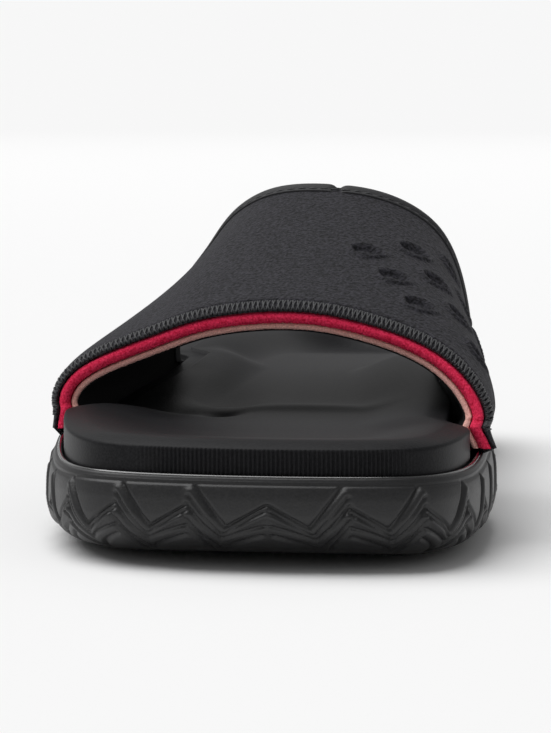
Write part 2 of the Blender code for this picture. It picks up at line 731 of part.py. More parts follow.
def strap_stations(turn):
    turns = column(STRAP_EDGES, "turn")
    front = smooth_curve(turns, column(STRAP_EDGES, "front"), turn)
    rear = smooth_curve(turns, column(STRAP_EDGES, "rear"), turn)
    return front, rear


def last_section(station, samples=160):
    """Section of the strap's outer face at a station, from lip to lip over the instep, as x and z."""
    blend = (station - FRONT_STATION) / (REAR_STATION - FRONT_STATION)
    top = STRAP_FRONT_HEIGHT + blend * (STRAP_REAR_HEIGHT - STRAP_FRONT_HEIGHT)
    y = -LENGTH / 2 + station * LENGTH
    lip = float(lip_height(station))
    widest = lip + STRAP_SWELL_HEIGHT
    stations = column(SWELLS, "station")
    feet = {}
    swells = {}
    for side, name in ((-1, "lateral"), (1, "medial")):
        swells[side] = STRAP_SWELL * float(smooth_curve(stations, column(SWELLS, name), station))
        feet[side] = float(side_x(side, SEAT_INSET, y))

    shape = min(max(blend, 0.0), 1.0) ** 0.7
    sides = column(LAST_SECTION, "side")
    out = column(LAST_SECTION, "front_out") * (1 - shape) + column(LAST_SECTION, "rear_out") * shape
    up = column(LAST_SECTION, "front_up") * (1 - shape) + column(LAST_SECTION, "rear_up") * shape
    xs = out * np.array([feet[side] + side * swells[side] for side in sides])
    zs = widest + up * (top - widest)
    lengths = np.concatenate([[0], np.cumsum(np.hypot(np.diff(xs), np.diff(zs)))])
    at = np.linspace(0, lengths[-1], samples)
    x = even_curve(lengths, xs, 0.0, 0.0, at)
    z = even_curve(lengths, zs, 1.0, -1.0, at)

    tuck = np.linspace(0, STRAP_SWELL_HEIGHT, 20, endpoint=False)
    swelled = smooth_step((tuck - STRAP_SWELL_START) / (STRAP_SWELL_HEIGHT - STRAP_SWELL_START))
    x = np.concatenate([feet[-1] - swells[-1] * swelled, x, (feet[1] + swells[1] * swelled)[::-1]])
    z = np.concatenate([lip + tuck, z, (lip + tuck)[::-1]])
    return x, z


def section_at(station):
    """The strap's section with the length along it from the lateral lip."""
    x, z = last_section(station)
    return x, z, np.concatenate([[0], np.cumsum(np.hypot(np.diff(x), np.diff(z)))])


def strap_point(turn, along, over=0.0):
    """Point on the strap's outer face; over is a length in from the nearer lip, negative below it."""
    front, rear = strap_stations(turn)
    station = float(front + (rear - front) * along)
    x, z, girth = section_at(station)
    at = turn * girth[-1]
    y = -LENGTH / 2 + station * LENGTH
    if turn not in (0.0, 1.0):
        return np.array([np.interp(at, girth, x), y, np.interp(at, girth, z)])
    flare = float(1 - smooth_step(along / CORNER_FLARE_END))
    widest = np.interp(abs(at - max(over, STRAP_SWELL_HEIGHT)), girth, x)
    at = abs(at - max(over, 0.0))
    out = np.interp(at, girth, x)
    return np.array([out + flare * (widest - out), y, np.interp(at, girth, z) + min(over, 0.0)])


def strap_face():
    """Grid of points on the strap's outer face: rows from front to rear, each from foot to foot."""
    above = column(SEAT_COLUMNS, "above") * STRAP_SWELL_HEIGHT
    below = column(SEAT_COLUMNS, "below") * STRAP_SEAT_DEPTH
    follows = column(SEAT_COLUMNS, "follows")
    rows = []
    for foot in STRAP_FOOT:
        edge = foot.lift * CORNER_LIFT - foot.seat * STRAP_SEAT_DEPTH
        overs = above - below + follows * (edge + STRAP_SEAT_DEPTH)
        lateral = [strap_point(0.0, foot.along, over) for over in overs]
        medial = [strap_point(1.0, foot.along, over) for over in overs[::-1]]
        first = overs[-1] / instep_girth(0.0, foot.along)
        last = 1 - overs[-1] / instep_girth(1.0, foot.along)
        turns = np.linspace(first, last, INSTEP_COLUMNS + 1)[1:-1]
        rows.append(lateral + [strap_point(turn, foot.along) for turn in turns] + medial)
    return np.array(rows)


def instep_girth(turn, along):
    """Length over the instep from lip to lip, at the station that this turn has."""
    front, rear = strap_stations(turn)
    return section_at(float(front + (rear - front) * along))[2][-1]


def strap_directions(face):
    """Unit directions away from the foot at each point of the strap's face, level over the seat."""
    along = np.gradient(face, axis=0)
    across = np.gradient(face, axis=1)
    normals = np.cross(across, along)
    seat = len(SEAT_COLUMNS)
    level = normals * (1, 1, 0)
    normals[:, :seat] = level[:, seat:seat + 1]
    normals[:, -seat:] = level[:, -seat - 1:-seat]
    return normals / np.linalg.norm(normals, axis=2)[:, :, None]


def build_strap_layer(name, face, normals, depth, thickness):
    """One layer of the strap: a sheet of even thickness, depth below the strap's outer face."""
    shell = Shell()
    rows, turns = face.shape[:2]
    sheets = []
    for level in (depth, depth + thickness):
        sheet = face - normals * level
        flat = sheet.reshape(-1, 3)
        sheets.append(np.array(shell.ring(flat[:, 0], flat[:, 1], flat[:, 2])).reshape(rows, turns))
    top, under = sheets
    for i in range(rows - 1):
        for j in range(turns - 1):
            shell.faces.append((top[i, j], top[i, j + 1], top[i + 1, j + 1], top[i + 1, j]))
            shell.faces.append((under[i, j], under[i + 1, j], under[i + 1, j + 1], under[i, j + 1]))
    rim_top = edge_of(top)
    rim_under = edge_of(under)
    shell.band(rim_under, rim_top)
    return shell.build(name)


def edge_of(sheet):
    """The ring of points along the four edges of a grid."""
    ring = list(sheet[0, :-1]) + list(sheet[:-1, -1])
    return ring + list(sheet[-1, :0:-1]) + list(sheet[:0:-1, 0])


def build_strap():
    """The three layers of the strap, and the dimples pressed into the outer one."""
    face = strap_face()
    normals = strap_directions(face)
    upper = build_strap_layer("upper", face, normals, 0.0, OUTER_THICKNESS)
    press_dimples(upper)
    forward = face[0] - face[1]
    forward /= np.linalg.norm(forward, axis=1)[:, None]
    revealed = np.concatenate([(face[0] + forward * MIDLAYER_REVEAL)[None], face])
    ahead = np.concatenate([normals[:1], normals])
    depth = OUTER_THICKNESS + GAP
    build_strap_layer("upper_midlayer", revealed, ahead, depth, MIDLAYER_THICKNESS)
    depth += MIDLAYER_THICKNESS + GAP
    build_strap_layer("upper_lining", face, normals, depth, LINING_THICKNESS)


def press_dimples(upper):
    """Cuts the shallow dimples with one joined cutter of flattened balls."""
    work = bmesh.new()
    for row in DIMPLES:
        centre = strap_point(row.turn, row.along)
        across = strap_point(row.turn + 0.01, row.along) - centre
        along = strap_point(row.turn, row.along + 0.01) - centre
        out = np.cross(across, along)
        axes = [Vector(across).normalized(), Vector(), Vector(out).normalized()]
        axes[1] = axes[2].cross(axes[0])
        frame = Matrix(axes).transposed().to_4x4()
        frame.translation = Vector(centre)
        size = (DIMPLE_LENGTH / 2, DIMPLE_WIDTH / 2, DIMPLE_DEPTH)
        scale = Matrix.Diagonal((*size, 1))
        bmesh.ops.create_uvsphere(work, u_segments=8, v_segments=6, radius=1, matrix=frame @ scale)
    bmesh.ops.recalc_face_normals(work, faces=work.faces)
    mesh = bpy.data.meshes.new("dimple_cutter")
    work.to_mesh(mesh)
    work.free()
    cutter = bpy.data.objects.new("dimple_cutter", mesh)
    bpy.context.collection.objects.link(cutter)
    cutter.hide_render = True
    cutter.display_type = "WIRE"
    cut = upper.modifiers.new("dimples", "BOOLEAN")
    cut.operation = "DIFFERENCE"
    cut.solver = "EXACT"
    cut.object = cutter


def main():
    for thing in list(bpy.data.objects):
        bpy.data.objects.remove(thing, do_unlink=True)
    build_outsole()
    build_footbed()
    build_strap()


main()
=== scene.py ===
"""Looks of a right-foot sport slide sandal over its CAD solids: every node gets a finer piece.

Lengths are in metres and +Z is up. The toe points to -Y and the heel to +Y. The medial (big toe)
side is +X and the lateral side is -X. The origin lies on the floor, at the centre of the sole's box.
"""

import math
from collections import namedtuple

import bmesh
import bpy
import numpy as np
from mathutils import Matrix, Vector


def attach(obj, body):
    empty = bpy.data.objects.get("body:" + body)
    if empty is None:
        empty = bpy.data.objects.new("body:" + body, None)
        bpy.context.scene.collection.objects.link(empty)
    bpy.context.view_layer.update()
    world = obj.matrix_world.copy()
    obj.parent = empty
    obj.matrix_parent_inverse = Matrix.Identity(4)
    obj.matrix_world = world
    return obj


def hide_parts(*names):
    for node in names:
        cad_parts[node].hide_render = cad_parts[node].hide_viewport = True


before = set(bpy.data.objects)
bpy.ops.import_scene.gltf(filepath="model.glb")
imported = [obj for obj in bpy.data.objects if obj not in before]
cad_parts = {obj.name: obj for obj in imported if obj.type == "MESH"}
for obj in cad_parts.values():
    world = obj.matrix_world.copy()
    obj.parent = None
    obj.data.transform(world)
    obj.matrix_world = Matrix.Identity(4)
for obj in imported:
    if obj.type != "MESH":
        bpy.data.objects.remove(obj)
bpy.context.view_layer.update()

MM = 0.001

# Sole, seen from above
LENGTH = 285 * MM
BALL_WIDTH = 112 * MM
WAIST_WIDTH = 87 * MM
HEEL_WIDTH = 78 * MM

# Sole, seen from the side: heights above the floor
TOE_SPRING = 5.5 * MM
ARCH_RISE = 1.5 * MM
HEEL_SPRING = 2.5 * MM
LIP_TOE_HEIGHT = 22.5 * MM
LIP_CORNER_HEIGHT = 21.6 * MM
LIP_BALL_HEIGHT = 23.5 * MM
LIP_HEEL_HEIGHT = 24 * MM
RIM_TOE_HEIGHT = 30.5 * MM
RIM_BALL_HEIGHT = 32 * MM
RIM_WAIST_HEIGHT = 36.5 * MM
RIM_HEEL_HEIGHT = 32.5 * MM

# Outsole cup
TREAD_INSET = 11 * MM
LIP_INSET = 2.2 * MM
LIP_THICKNESS = 1.4 * MM
CUP_FLOOR = 5 * MM
SIDE_COLUMNS = 1430
CHEVRON_PITCH = 18.6 * MM
SIDE_LINE_WIDTH = 0.38 * MM
SIDE_LINE_DEPTH = 0.80 * MM
SIDE_RIDGE_WIDTH = 1.1 * MM
SIDE_RIDGE_RISE = 0.60 * MM
SIDE_RELIEF_START = 0.06
LIP_GROOVE_DROP = 2.2 * MM
LIP_GROOVE_WIDTH = 0.35 * MM
LIP_GROOVE_DEPTH = 0.30 * MM
LIP_ROUNDING = 0.035
LIP_BEAD_RADIUS = 0.65 * MM
LIP_BEAD_DROP = 0.25 * MM
LIP_BEAD_COLUMNS = 700
TREAD_COLUMNS = 360
TREAD_THICKNESS = 4 * MM
TREAD_PITCH = 13.5 * MM
TREAD_GROOVE_WIDTH = 2.4 * MM
TREAD_GROOVE_DEPTH = 1.8 * MM
TREAD_ZIGZAG_PITCH = 22 * MM
TREAD_ZIGZAG_RISE = 6 * MM

# Footbed
RIB_PITCH = 1.1 * MM
RIB_DEPTH = 0.62 * MM
RIB_LATERAL_END = 37 * MM
RIB_MEDIAL_END = 40 * MM
RIB_FADE = 13 * MM
RIBBED_HALF = 46 * MM
BED_FOOT_DEPTH = 2.0 * MM
BED_EDGE_RADIUS = 1.1 * MM
BED_EDGE_TURN = math.radians(66)
BED_CROWN_RUN = 6.0 * MM
BED_CROWN_DROP = 1.5 * MM
SHOULDER_DROP = 4.5 * MM
SHOULDER_BLEND = 2.5 * MM
SHOULDER_START = 0.245
SHOULDER_START_RAMP = 0.055
SHOULDER_END = 0.74
SHOULDER_END_RAMP = 0.21
DISH_DEPTH = 7 * MM
DISH_RUN = 17 * MM
DISH_CELL = 2 * MM
TOE_BAR_RISE = 1.2 * MM
TOE_PRINT_DEPTH = 1.8 * MM
BALL_DENT_DEPTH = 2.4 * MM
BALL_FLANK_RISE = 0.3 * MM
ARCH_SUPPORT_RISE = 4 * MM
HEEL_CUP_DEPTH = 1.6 * MM
RECESS_FRONT_LAG = 6 * MM
RECESS_FRONT_RAMP = 15 * MM
RECESS_REAR_MARGIN = 2.5 * MM
RECESS_REAR_RAMP = 5 * MM
SPINE_SHARE = 0.72
SPINE_SHIFT = 0.02 * BALL_WIDTH

# Strap
STRAP_FRONT_HEIGHT = 55.8 * MM
STRAP_REAR_HEIGHT = 80.8 * MM
OUTER_THICKNESS = 1.8 * MM
MIDLAYER_THICKNESS = 2.7 * MM
LINING_THICKNESS = 1.5 * MM
# The next three lengths size the innermost strap layer, a thin near-black sheet whose colour is painted
# shade for the deep shade inside the strap.
SHADE_CLOTH_THICKNESS = 0.3 * MM
SHADE_CLOTH_CLEARANCE = 0.08 * MM
SHADE_CLOTH_SETBACK = 0.45 * MM
MIDLAYER_REVEAL = 0.9 * MM
STRAP_SEAT_DEPTH = 8 * MM
STRAP_SWELL = 3.6 * MM
STRAP_SWELL_HEIGHT = 8 * MM
STRAP_SWELL_START = 1.6 * MM
CORNER_FLARE_END = 0.10
CORNER_LIFT = 1.6 * MM
CORNER_SPREAD = (1.0 * MM, 3.2 * MM)
EDGE_TAPER_RUN = 5.5 * MM
EDGE_TAPER_DROP = 1.0 * MM
EDGE_BAND = 3.9 * MM
EDGE_BAND_RISE = 0.16 * MM
EDGE_GROOVE_WIDTH = 0.42 * MM
EDGE_GROOVE_DEPTH = 0.38 * MM
FUZZ_RUN = 2.5 * MM
FUZZ_RAMP = 2.0 * MM
TAPE_JOIN_TURN = 0.532
TAPE_JOIN_WIDTH = 1.1 * MM
TAPE_JOIN_DEPTH = 1.3 * MM
TAPE_FOOT_SQUEEZE = 0.13
STITCH_PITCH = 1.28 * MM
STITCH_RADIUS = 0.25 * MM
STITCH_LEAN = 0.45
TAPE_STITCH_PITCH = 3.0 * MM
TAPE_STITCH_LENGTH = 2.45 * MM
TAPE_STITCH_RADIUS = 0.20 * MM
TAPE_STITCH_RISE = 0.22 * MM
TAPE_STITCH_BEFORE = 2.85 * MM
TAPE_STITCH_DEPTH = -0.24 * MM

# Pressed dimples on the medial side of the strap
DIMPLE_LENGTH = 9 * MM
DIMPLE_WIDTH = 8.4 * MM
DIMPLE_DEPTH = 1.7 * MM
DIMPLE_LIP_RISE = 0.75 * MM
DIMPLE_CURL_RISE = 0.55 * MM
DIMPLE_SHIFT = 0.035

# Clearance between pieces that meet
GAP = 0.3 * MM

# Studio
FLOOR_HALF = 40.0
FLOOR_WHITE = 0.93
WORLD_STRENGTH = 0.28
OVERHEAD_ENERGY = 2.50
OVERHEAD_SPREAD = math.radians(65)
OVERHEAD_DIRECTION = (-0.45, 0.12, 1.0)
PANEL_ENERGY = 1.3
PANEL_SIZE = (2.6, 1.1)
PANEL_PLACE = (-0.2, 1.7, 0.80)
PANEL_DIRECTION = (-0.2, 1.7, 0.55)
CAMERA_LENS = 215
CAMERA_PLACE = (0.1437, -1.1346, 0.1514)
CAMERA_TARGET = (0.0, -0.06, 0.040)


def table(names, *rows):
    """Named columns of a table, each an array over its rows."""
    return namedtuple("Table", names)(*np.array(rows, float).T)


# Outline of the sole. Station is a share of the length, from the toe. Lateral and medial are shares
# of the width that the row follows, each outwards from the centre line.
SOLE_OUTLINE = table(
    "station follows lateral medial",
    (0.000, BALL_WIDTH, -0.085, 0.085),
    (0.012, BALL_WIDTH, 0.170, 0.340),
    (0.040, BALL_WIDTH, 0.310, 0.440),
    (0.085, BALL_WIDTH, 0.390, 0.487),
    (0.150, BALL_WIDTH, 0.446, 0.507),
    (0.230, BALL_WIDTH, 0.483, 0.507),
    (0.320, BALL_WIDTH, 0.500, 0.491),
    (0.420, BALL_WIDTH, 0.487, 0.443),
    (0.530, WAIST_WIDTH, 0.586, 0.508),
    (0.640, WAIST_WIDTH, 0.532, 0.474),
    (0.740, HEEL_WIDTH, 0.534, 0.520),
    (0.830, HEEL_WIDTH, 0.480, 0.522),
    (0.900, HEEL_WIDTH, 0.430, 0.485),
    (0.955, HEEL_WIDTH, 0.325, 0.390),
    (0.988, HEEL_WIDTH, 0.170, 0.235),
    (1.000, HEEL_WIDTH, -0.032, 0.032),
)

# Underside, as shares of the toe spring, the arch's rise and the heel's rise. Rows with three zeros
# are the flat spots of the forefoot and the heel.
UNDERSIDE = table(
    "station toe arch heel",
    (0.00, 1.00, 0.0, 0.0),
    (0.05, 0.62, 0.0, 0.0),
    (0.10, 0.32, 0.0, 0.0),
    (0.16, 0.09, 0.0, 0.0),
    (0.21, 0.00, 0.0, 0.0),
    (0.43, 0.00, 0.0, 0.0),
    (0.55, 0.00, 1.0, 0.0),
    (0.67, 0.00, 0.0, 0.0),
    (0.92, 0.00, 0.0, 0.0),
    (1.00, 0.00, 0.0, 1.0),
)

# Heights of the cup's lip and of the footbed's rim along the sole
SIDE_HEIGHTS = table(
    "station lip rim",
    (0.00, LIP_TOE_HEIGHT, RIM_TOE_HEIGHT),
    (0.12, LIP_CORNER_HEIGHT, RIM_TOE_HEIGHT),
    (0.30, LIP_BALL_HEIGHT, RIM_BALL_HEIGHT),
    (0.70, LIP_BALL_HEIGHT, RIM_WAIST_HEIGHT),
    (1.00, LIP_HEEL_HEIGHT, RIM_HEEL_HEIGHT),
)

# Depth of the footbed's dish along the sole, as shares of DISH_DEPTH
DISH = table(
    "station depth",
    (0.00, 0.30),
    (0.15, 0.36),
    (0.32, 0.70),
    (0.55, 1.00),
    (1.00, 1.00),
)

# Low forms of the footbed's top: where each lies along the sole, out from the middle line as a share
# of BALL_WIDTH (medial positive), how far it reaches to the front, to the rear and across, and its rise.
BED_FORMS = table(
    "station out front rear across rise",
    (0.325, 0.06, 0.020, 0.030, 0.22, TOE_BAR_RISE),
    (0.293, -0.125, 0.028, 0.024, 0.035, -TOE_PRINT_DEPTH),
    (0.400, -0.140, 0.035, 0.110, 0.080, -BALL_DENT_DEPTH),
    (0.420, -0.245, 0.080, 0.100, 0.040, BALL_FLANK_RISE),
    (0.560, 0.360, 0.120, 0.120, 0.260, ARCH_SUPPORT_RISE),
    (0.860, 0.000, 0.100, 0.100, 0.300, -HEEL_CUP_DEPTH),
)

# Side wall of the cup, from the tread's edge to the lip. Height is a share of the wall, and the
# inset is under x TREAD_INSET + over x LIP_INSET.
CUP_WALL = table(
    "height under over",
    (0.00, 1.00, 0.00),
    (0.07, 0.55, 0.00),
    (0.18, 0.25, 0.00),
    (0.34, 0.06, 0.00),
    (0.50, 0.00, 0.00),
    (0.68, 0.00, 0.06),
    (0.84, 0.00, 0.30),
    (0.95, 0.00, 0.70),
    (1.00, 0.00, 1.00),
)

# Grooves and ridges of the sole's side, each a line of points in mm. The first number is a length
# along the outline, away from the toe's middle and counted from the nearest peak of the zigzag, and
# the second a length below the lip.
SIDE_GROOVES = (
    ((17.2, 2.9), (13.2, 10.0), (9.8, 16.0), (0.2, 8.6)),
    ((19.3, 8.4), (15.2, 15.5), (11.6, 19.8), (0.7, 15.5)),
    ((19.6, 15.4), (14.6, 23.0)),
    ((18.6, 5.8), (14.4, 13.0), (10.9, 18.3), (0.9, 10.9)),
    ((20.4, 11.6), (16.3, 18.6), (12.4, 22.6), (1.2, 18.6)),
)
SIDE_RIDGES = (
    ((18.3, 4.5), (14.2, 12.6), (10.6, 17.9), (0.5, 12.0)),
)

# Sections of the last under the strap, at the station of the front height and at that of the rear
# height. Out is a share of the way from the middle line to the widest point of the row's side, and
# up a share of the height from there to the top.
LAST_SECTION = table(
    "side front_out front_up rear_out rear_up",
    (-1, 1.000, 0.00, 1.000, 0.00),
    (-1, 0.955, 0.27, 0.960, 0.19),
    (-1, 0.870, 0.44, 0.850, 0.33),
    (-1, 0.730, 0.59, 0.710, 0.48),
    (-1, 0.560, 0.73, 0.580, 0.63),
    (-1, 0.370, 0.87, 0.430, 0.82),
    (-1, 0.130, 0.965, 0.235, 0.95),
    (1, 0.115, 1.00, 0.090, 1.00),
    (1, 0.370, 0.95, 0.390, 0.975),
    (1, 0.620, 0.83, 0.620, 0.90),
    (1, 0.780, 0.69, 0.790, 0.78),
    (1, 0.900, 0.48, 0.905, 0.58),
    (1, 0.970, 0.25, 0.970, 0.32),
    (1, 1.000, 0.00, 1.000, 0.00),
)
FRONT_STATION = 0.263
REAR_STATION = 0.527

# Where the strap stands out over its seat, along the sole, as shares of STRAP_SWELL
SWELLS = table(
    "station lateral medial",
    (0.150, 1.00, 1.20),
    (0.263, 1.15, 1.10),
    (0.400, 0.80, 0.85),
    (0.527, 0.35, 1.00),
    (0.640, 0.20, 0.90),
)

# Front and rear edges of the strap, as shares of the length. Turn runs over the instep, from 0 at
# the lateral lip to 1 at the medial lip.
STRAP_EDGES = table(
    "turn front rear",
    (0.00, 0.256, 0.615),
    (0.20, 0.265, 0.575),
    (0.40, 0.267, 0.537),
    (0.55, 0.263, 0.527),
    (0.70, 0.250, 0.526),
    (0.85, 0.222, 0.535),
    (1.00, 0.188, 0.555),
)

# Lower edge of the strap along the sole, from its front corner (0) to its rear corner (1). Lift is a
# share of CORNER_LIFT above the lip, seat a share of STRAP_SEAT_DEPTH below it.
STRAP_FOOT = table(
    "along lift seat",
    (0.000, 1.00, 0.00),
    (0.050, 0.80, 0.00),
    (0.085, 0.30, 0.00),
    (0.110, 0.00, 0.12),
    (0.140, 0.00, 1.00),
    (0.930, 0.00, 1.00),
    (1.000, 0.00, 0.40),
)

# Columns of the strap near its feet. Above is a share of STRAP_SWELL_HEIGHT over the lip, below a
# share of STRAP_SEAT_DEPTH under it, and follows is how far the column moves with the lower edge.
SEAT_COLUMNS = table(
    "above below follows",
    (0.00, 1.00, 1.00),
    (0.00, 0.50, 0.72),
    (0.00, 0.00, 0.45),
    (0.22, 0.00, 0.33),
    (0.46, 0.00, 0.20),
    (0.72, 0.00, 0.10),
    (1.05, 0.00, 0.00),
)

# Places of the dimples, in rows that slant back towards the sole. Along is a share of the strap.
DIMPLES = table(
    "turn along",
    (0.620, 0.48),
    (0.690, 0.62),
    (0.760, 0.76),
    (0.675, 0.34),
    (0.745, 0.48),
    (0.815, 0.62),
    (0.730, 0.20),
    (0.800, 0.34),
    (0.870, 0.48),
    (0.855, 0.20),
)

# Rolled tape round the strap's rear edge, in mm. Before is a length ahead of the edge, and depth a
# length below the strap's outer face; rows run from the outside round the edge to the inside.
TAPE = table(
    "before depth",
    (4.2, 0.15),
    (4.1, -0.32),
    (3.7, -0.50),
    (3.1, -0.38),
    (2.6, -0.34),
    (2.1, -0.55),
    (1.2, -0.78),
    (0.3, -0.72),
    (-0.4, -0.36),
    (-0.95, 0.5),
    (-1.25, 2.0),
    (-1.30, 3.6),
    (-1.20, 5.1),
    (-0.85, 6.6),
    (-0.2, 7.25),
    (0.8, 7.40),
    (3.0, 7.38),
    (3.9, 7.30),
    (4.1, 6.95),
)

# A thread whipped over the strap's front edge, in mm: run behind the edge, depth below the face
STITCH_PATH = np.array((
    (3.5, 0.10), (3.1, -0.14), (2.3, -0.22), (1.3, -0.20),
    (0.55, -0.12), (0.12, 0.12), (-0.06, 0.45), (0.1, 0.75),
)) * MM

STRAP_THICKNESS = OUTER_THICKNESS + MIDLAYER_THICKNESS + LINING_THICKNESS + 2 * GAP
CUP_INNER_INSET = LIP_INSET + LIP_THICKNESS
SEAT_INSET = CUP_INNER_INSET + GAP
RECESS_DEPTH = STRAP_THICKNESS + GAP


def smooth_curve(xs, ys, at):
    """Reads a curve through (xs, ys) that never overshoots its rows and stays flat between equal ones."""
    steps = np.diff(xs)
    slopes = np.diff(ys) / steps
    tangents = np.zeros(len(xs))
    tangents[0] = slopes[0]
    tangents[-1] = slopes[-1]
    for i in range(1, len(xs) - 1):
        if slopes[i - 1] * slopes[i] > 0:
            before = 2 * steps[i] + steps[i - 1]
            after = steps[i] + 2 * steps[i - 1]
            tangents[i] = (before + after) / (before / slopes[i - 1] + after / slopes[i])
    at = np.clip(np.asarray(at, float), xs[0], xs[-1])
    i = np.clip(np.searchsorted(xs, at, side="right") - 1, 0, len(steps) - 1)
    t = (at - xs[i]) / steps[i]
    start = (1 + 2 * t) * (1 - t) ** 2 * ys[i] + t * (1 - t) ** 2 * steps[i] * tangents[i]
    end = t ** 2 * (3 - 2 * t) * ys[i + 1] + t ** 2 * (t - 1) * steps[i] * tangents[i + 1]
    return start + end


def read(rows, name, at):
    """A column of a table, read at places along its first column."""
    return smooth_curve(rows[0], getattr(rows, name), at)


def bent(values, bends, i, j, step, t):
    """The cubic between values i and j, t after the first, with the given bends at both."""
    u = step - t
    cubic = (bends[i] * u ** 3 + bends[j] * t ** 3) / (6 * step)
    start = (values[i] / step - bends[i] * step / 6) * u
    end = (values[j] / step - bends[j] * step / 6) * t
    return cubic + start + end


def closed_curve(angles, values, at):
    """Reads a curve with even bending through values that repeat every full turn of the angle."""
    count = len(angles)
    steps = np.diff(np.append(angles, angles[0] + 2 * math.pi))
    slopes = (np.roll(values, -1) - values) / steps
    matrix = np.zeros((count, count))
    for i in range(count):
        matrix[i, i - 1] += steps[i - 1]
        matrix[i, i] += 2 * (steps[i - 1] + steps[i])
        matrix[i, (i + 1) % count] += steps[i]
    bends = np.linalg.solve(matrix, 6 * (slopes - np.roll(slopes, 1)))
    at = (at - angles[0]) % (2 * math.pi) + angles[0]
    i = np.clip(np.searchsorted(angles, at, side="right") - 1, 0, count - 1)
    return bent(values, bends, i, (i + 1) % count, steps[i], at - angles[i])


def even_curve(ts, values, first_slope, last_slope, at):
    """Reads a curve with even bending through values, with stated slopes at its two ends."""
    count = len(ts)
    steps = np.diff(ts)
    slopes = np.diff(values) / steps
    matrix = np.zeros((count, count))
    right = np.zeros(count)
    matrix[0, :2] = (2 * steps[0], steps[0])
    right[0] = 6 * (slopes[0] - first_slope)
    matrix[-1, -2:] = (steps[-1], 2 * steps[-1])
    right[-1] = 6 * (last_slope - slopes[-1])
    for i in range(1, count - 1):
        matrix[i, i - 1:i + 2] = (steps[i - 1], 2 * (steps[i - 1] + steps[i]), steps[i])
        right[i] = 6 * (slopes[i] - slopes[i - 1])
    bends = np.linalg.solve(matrix, right)
    i = np.clip(np.searchsorted(ts, at, side="right") - 1, 0, count - 2)
    return bent(values, bends, i, i + 1, steps[i], at - ts[i])


def smooth_step(value):
    value = np.clip(value, 0, 1)
    return value * value * (3 - 2 * value)


def unit(vectors):
    return vectors / np.linalg.norm(vectors, axis=-1, keepdims=True)


def walked(path):
    """Lengths along a path, up to each of its points."""
    return np.concatenate([[0], np.cumsum(np.linalg.norm(np.diff(path, axis=0), axis=1))])


def bilinear(values, i, j):
    """Reads a grid of values between its rows and columns."""
    i0 = np.clip(i.astype(int), 0, values.shape[0] - 2)
    j0 = np.clip(j.astype(int), 0, values.shape[1] - 2)
    low = values[i0, j0] + (values[i0, j0 + 1] - values[i0, j0]) * (j - j0)
    high = values[i0 + 1, j0] + (values[i0 + 1, j0 + 1] - values[i0 + 1, j0]) * (j - j0)
    return low + (high - low) * (i - i0)


def sole_loop(samples=1440):
    """The sole's outline as points, counter-clockwise from the toe, with outward normals."""
    turn = np.arccos(1 - 2 * SOLE_OUTLINE.station)
    medial = SOLE_OUTLINE.medial * SOLE_OUTLINE.follows
    lateral = -SOLE_OUTLINE.lateral * SOLE_OUTLINE.follows
    angles = np.concatenate([turn, 2 * math.pi - turn[-2:0:-1]])
    sides = np.concatenate([medial, lateral[-2:0:-1]])
    at = np.linspace(0, 2 * math.pi, samples, endpoint=False)
    x = closed_curve(angles, sides, at)
    x = (x - (x.max() + x.min()) / 2) * BALL_WIDTH / (x.max() - x.min())
    points = np.stack([x, -LENGTH / 2 * np.cos(at)], axis=1)
    along = unit(np.roll(points, -1, axis=0) - np.roll(points, 1, axis=0))
    return points, np.stack([along[:, 1], -along[:, 0]], axis=1)


LOOP_POINTS, LOOP_NORMALS = sole_loop()
LOOP_LENGTHS = walked(np.vstack([LOOP_POINTS, LOOP_POINTS[:1]]))
PERIMETER = LOOP_LENGTHS[-1]


def loop_at(lengths):
    """Points and outward normals of the outline at the given lengths along it from the toe."""
    result = []
    for source in (LOOP_POINTS, LOOP_NORMALS):
        closed = np.vstack([source, source[:1]])
        result.append(np.stack([np.interp(lengths, LOOP_LENGTHS, closed[:, k]) for k in (0, 1)], axis=1))
    return result[0], unit(result[1])


def even_loop(count):
    return loop_at(np.arange(count) * PERIMETER / count)


def signed_lengths(lengths):
    """Lengths from the toe, positive on the medial side and negative on the lateral side."""
    return np.where(lengths > PERIMETER / 2, lengths - PERIMETER, lengths)


def station_of(y):
    return np.clip((y + LENGTH / 2) / LENGTH, 0, 1)


def underside(station):
    """Height of the tread's face above the floor."""
    rises = (("toe", TOE_SPRING), ("arch", ARCH_RISE), ("heel", HEEL_SPRING))
    return sum(read(UNDERSIDE, name, station) * rise for name, rise in rises)


def lip_height(station):
    return read(SIDE_HEIGHTS, "lip", station)


def wall_height(station, share):
    return underside(station) * (1 - share) + lip_height(station) * share


def wall_inset(height):
    """Inset of the cup's side at a share of its height."""
    return read(CUP_WALL, "under", height) * TREAD_INSET + read(CUP_WALL, "over", height) * LIP_INSET


def side_x(side, inset, y):
    """x of the outline moved in by the inset, on one side (+1 medial, -1 lateral), at y."""
    moved = LOOP_POINTS - LOOP_NORMALS * inset
    chosen = moved[LOOP_NORMALS[:, 0] * side > 0.2]
    order = np.argsort(chosen[:, 1])
    return np.interp(y, chosen[order, 1], chosen[order, 0])


def strap_stations(turn):
    return read(STRAP_EDGES, "front", turn), read(STRAP_EDGES, "rear", turn)


def strap_recess(points, normals):
    """Share of the recess that the strap's foot takes out of the footbed's side, at each column."""
    share = np.zeros(len(points))
    for side, turn in ((-1, 0.0), (1, 1.0)):
        front, rear = strap_stations(turn)
        y = points[:, 1] + LENGTH / 2
        opening = smooth_step((y - front * LENGTH - RECESS_FRONT_LAG) / RECESS_FRONT_RAMP + 1)
        closing = smooth_step((rear * LENGTH + RECESS_REAR_MARGIN - y) / RECESS_REAR_RAMP + 1)
        share = np.where(normals[:, 0] * side > 0, opening * closing, share)
    return share


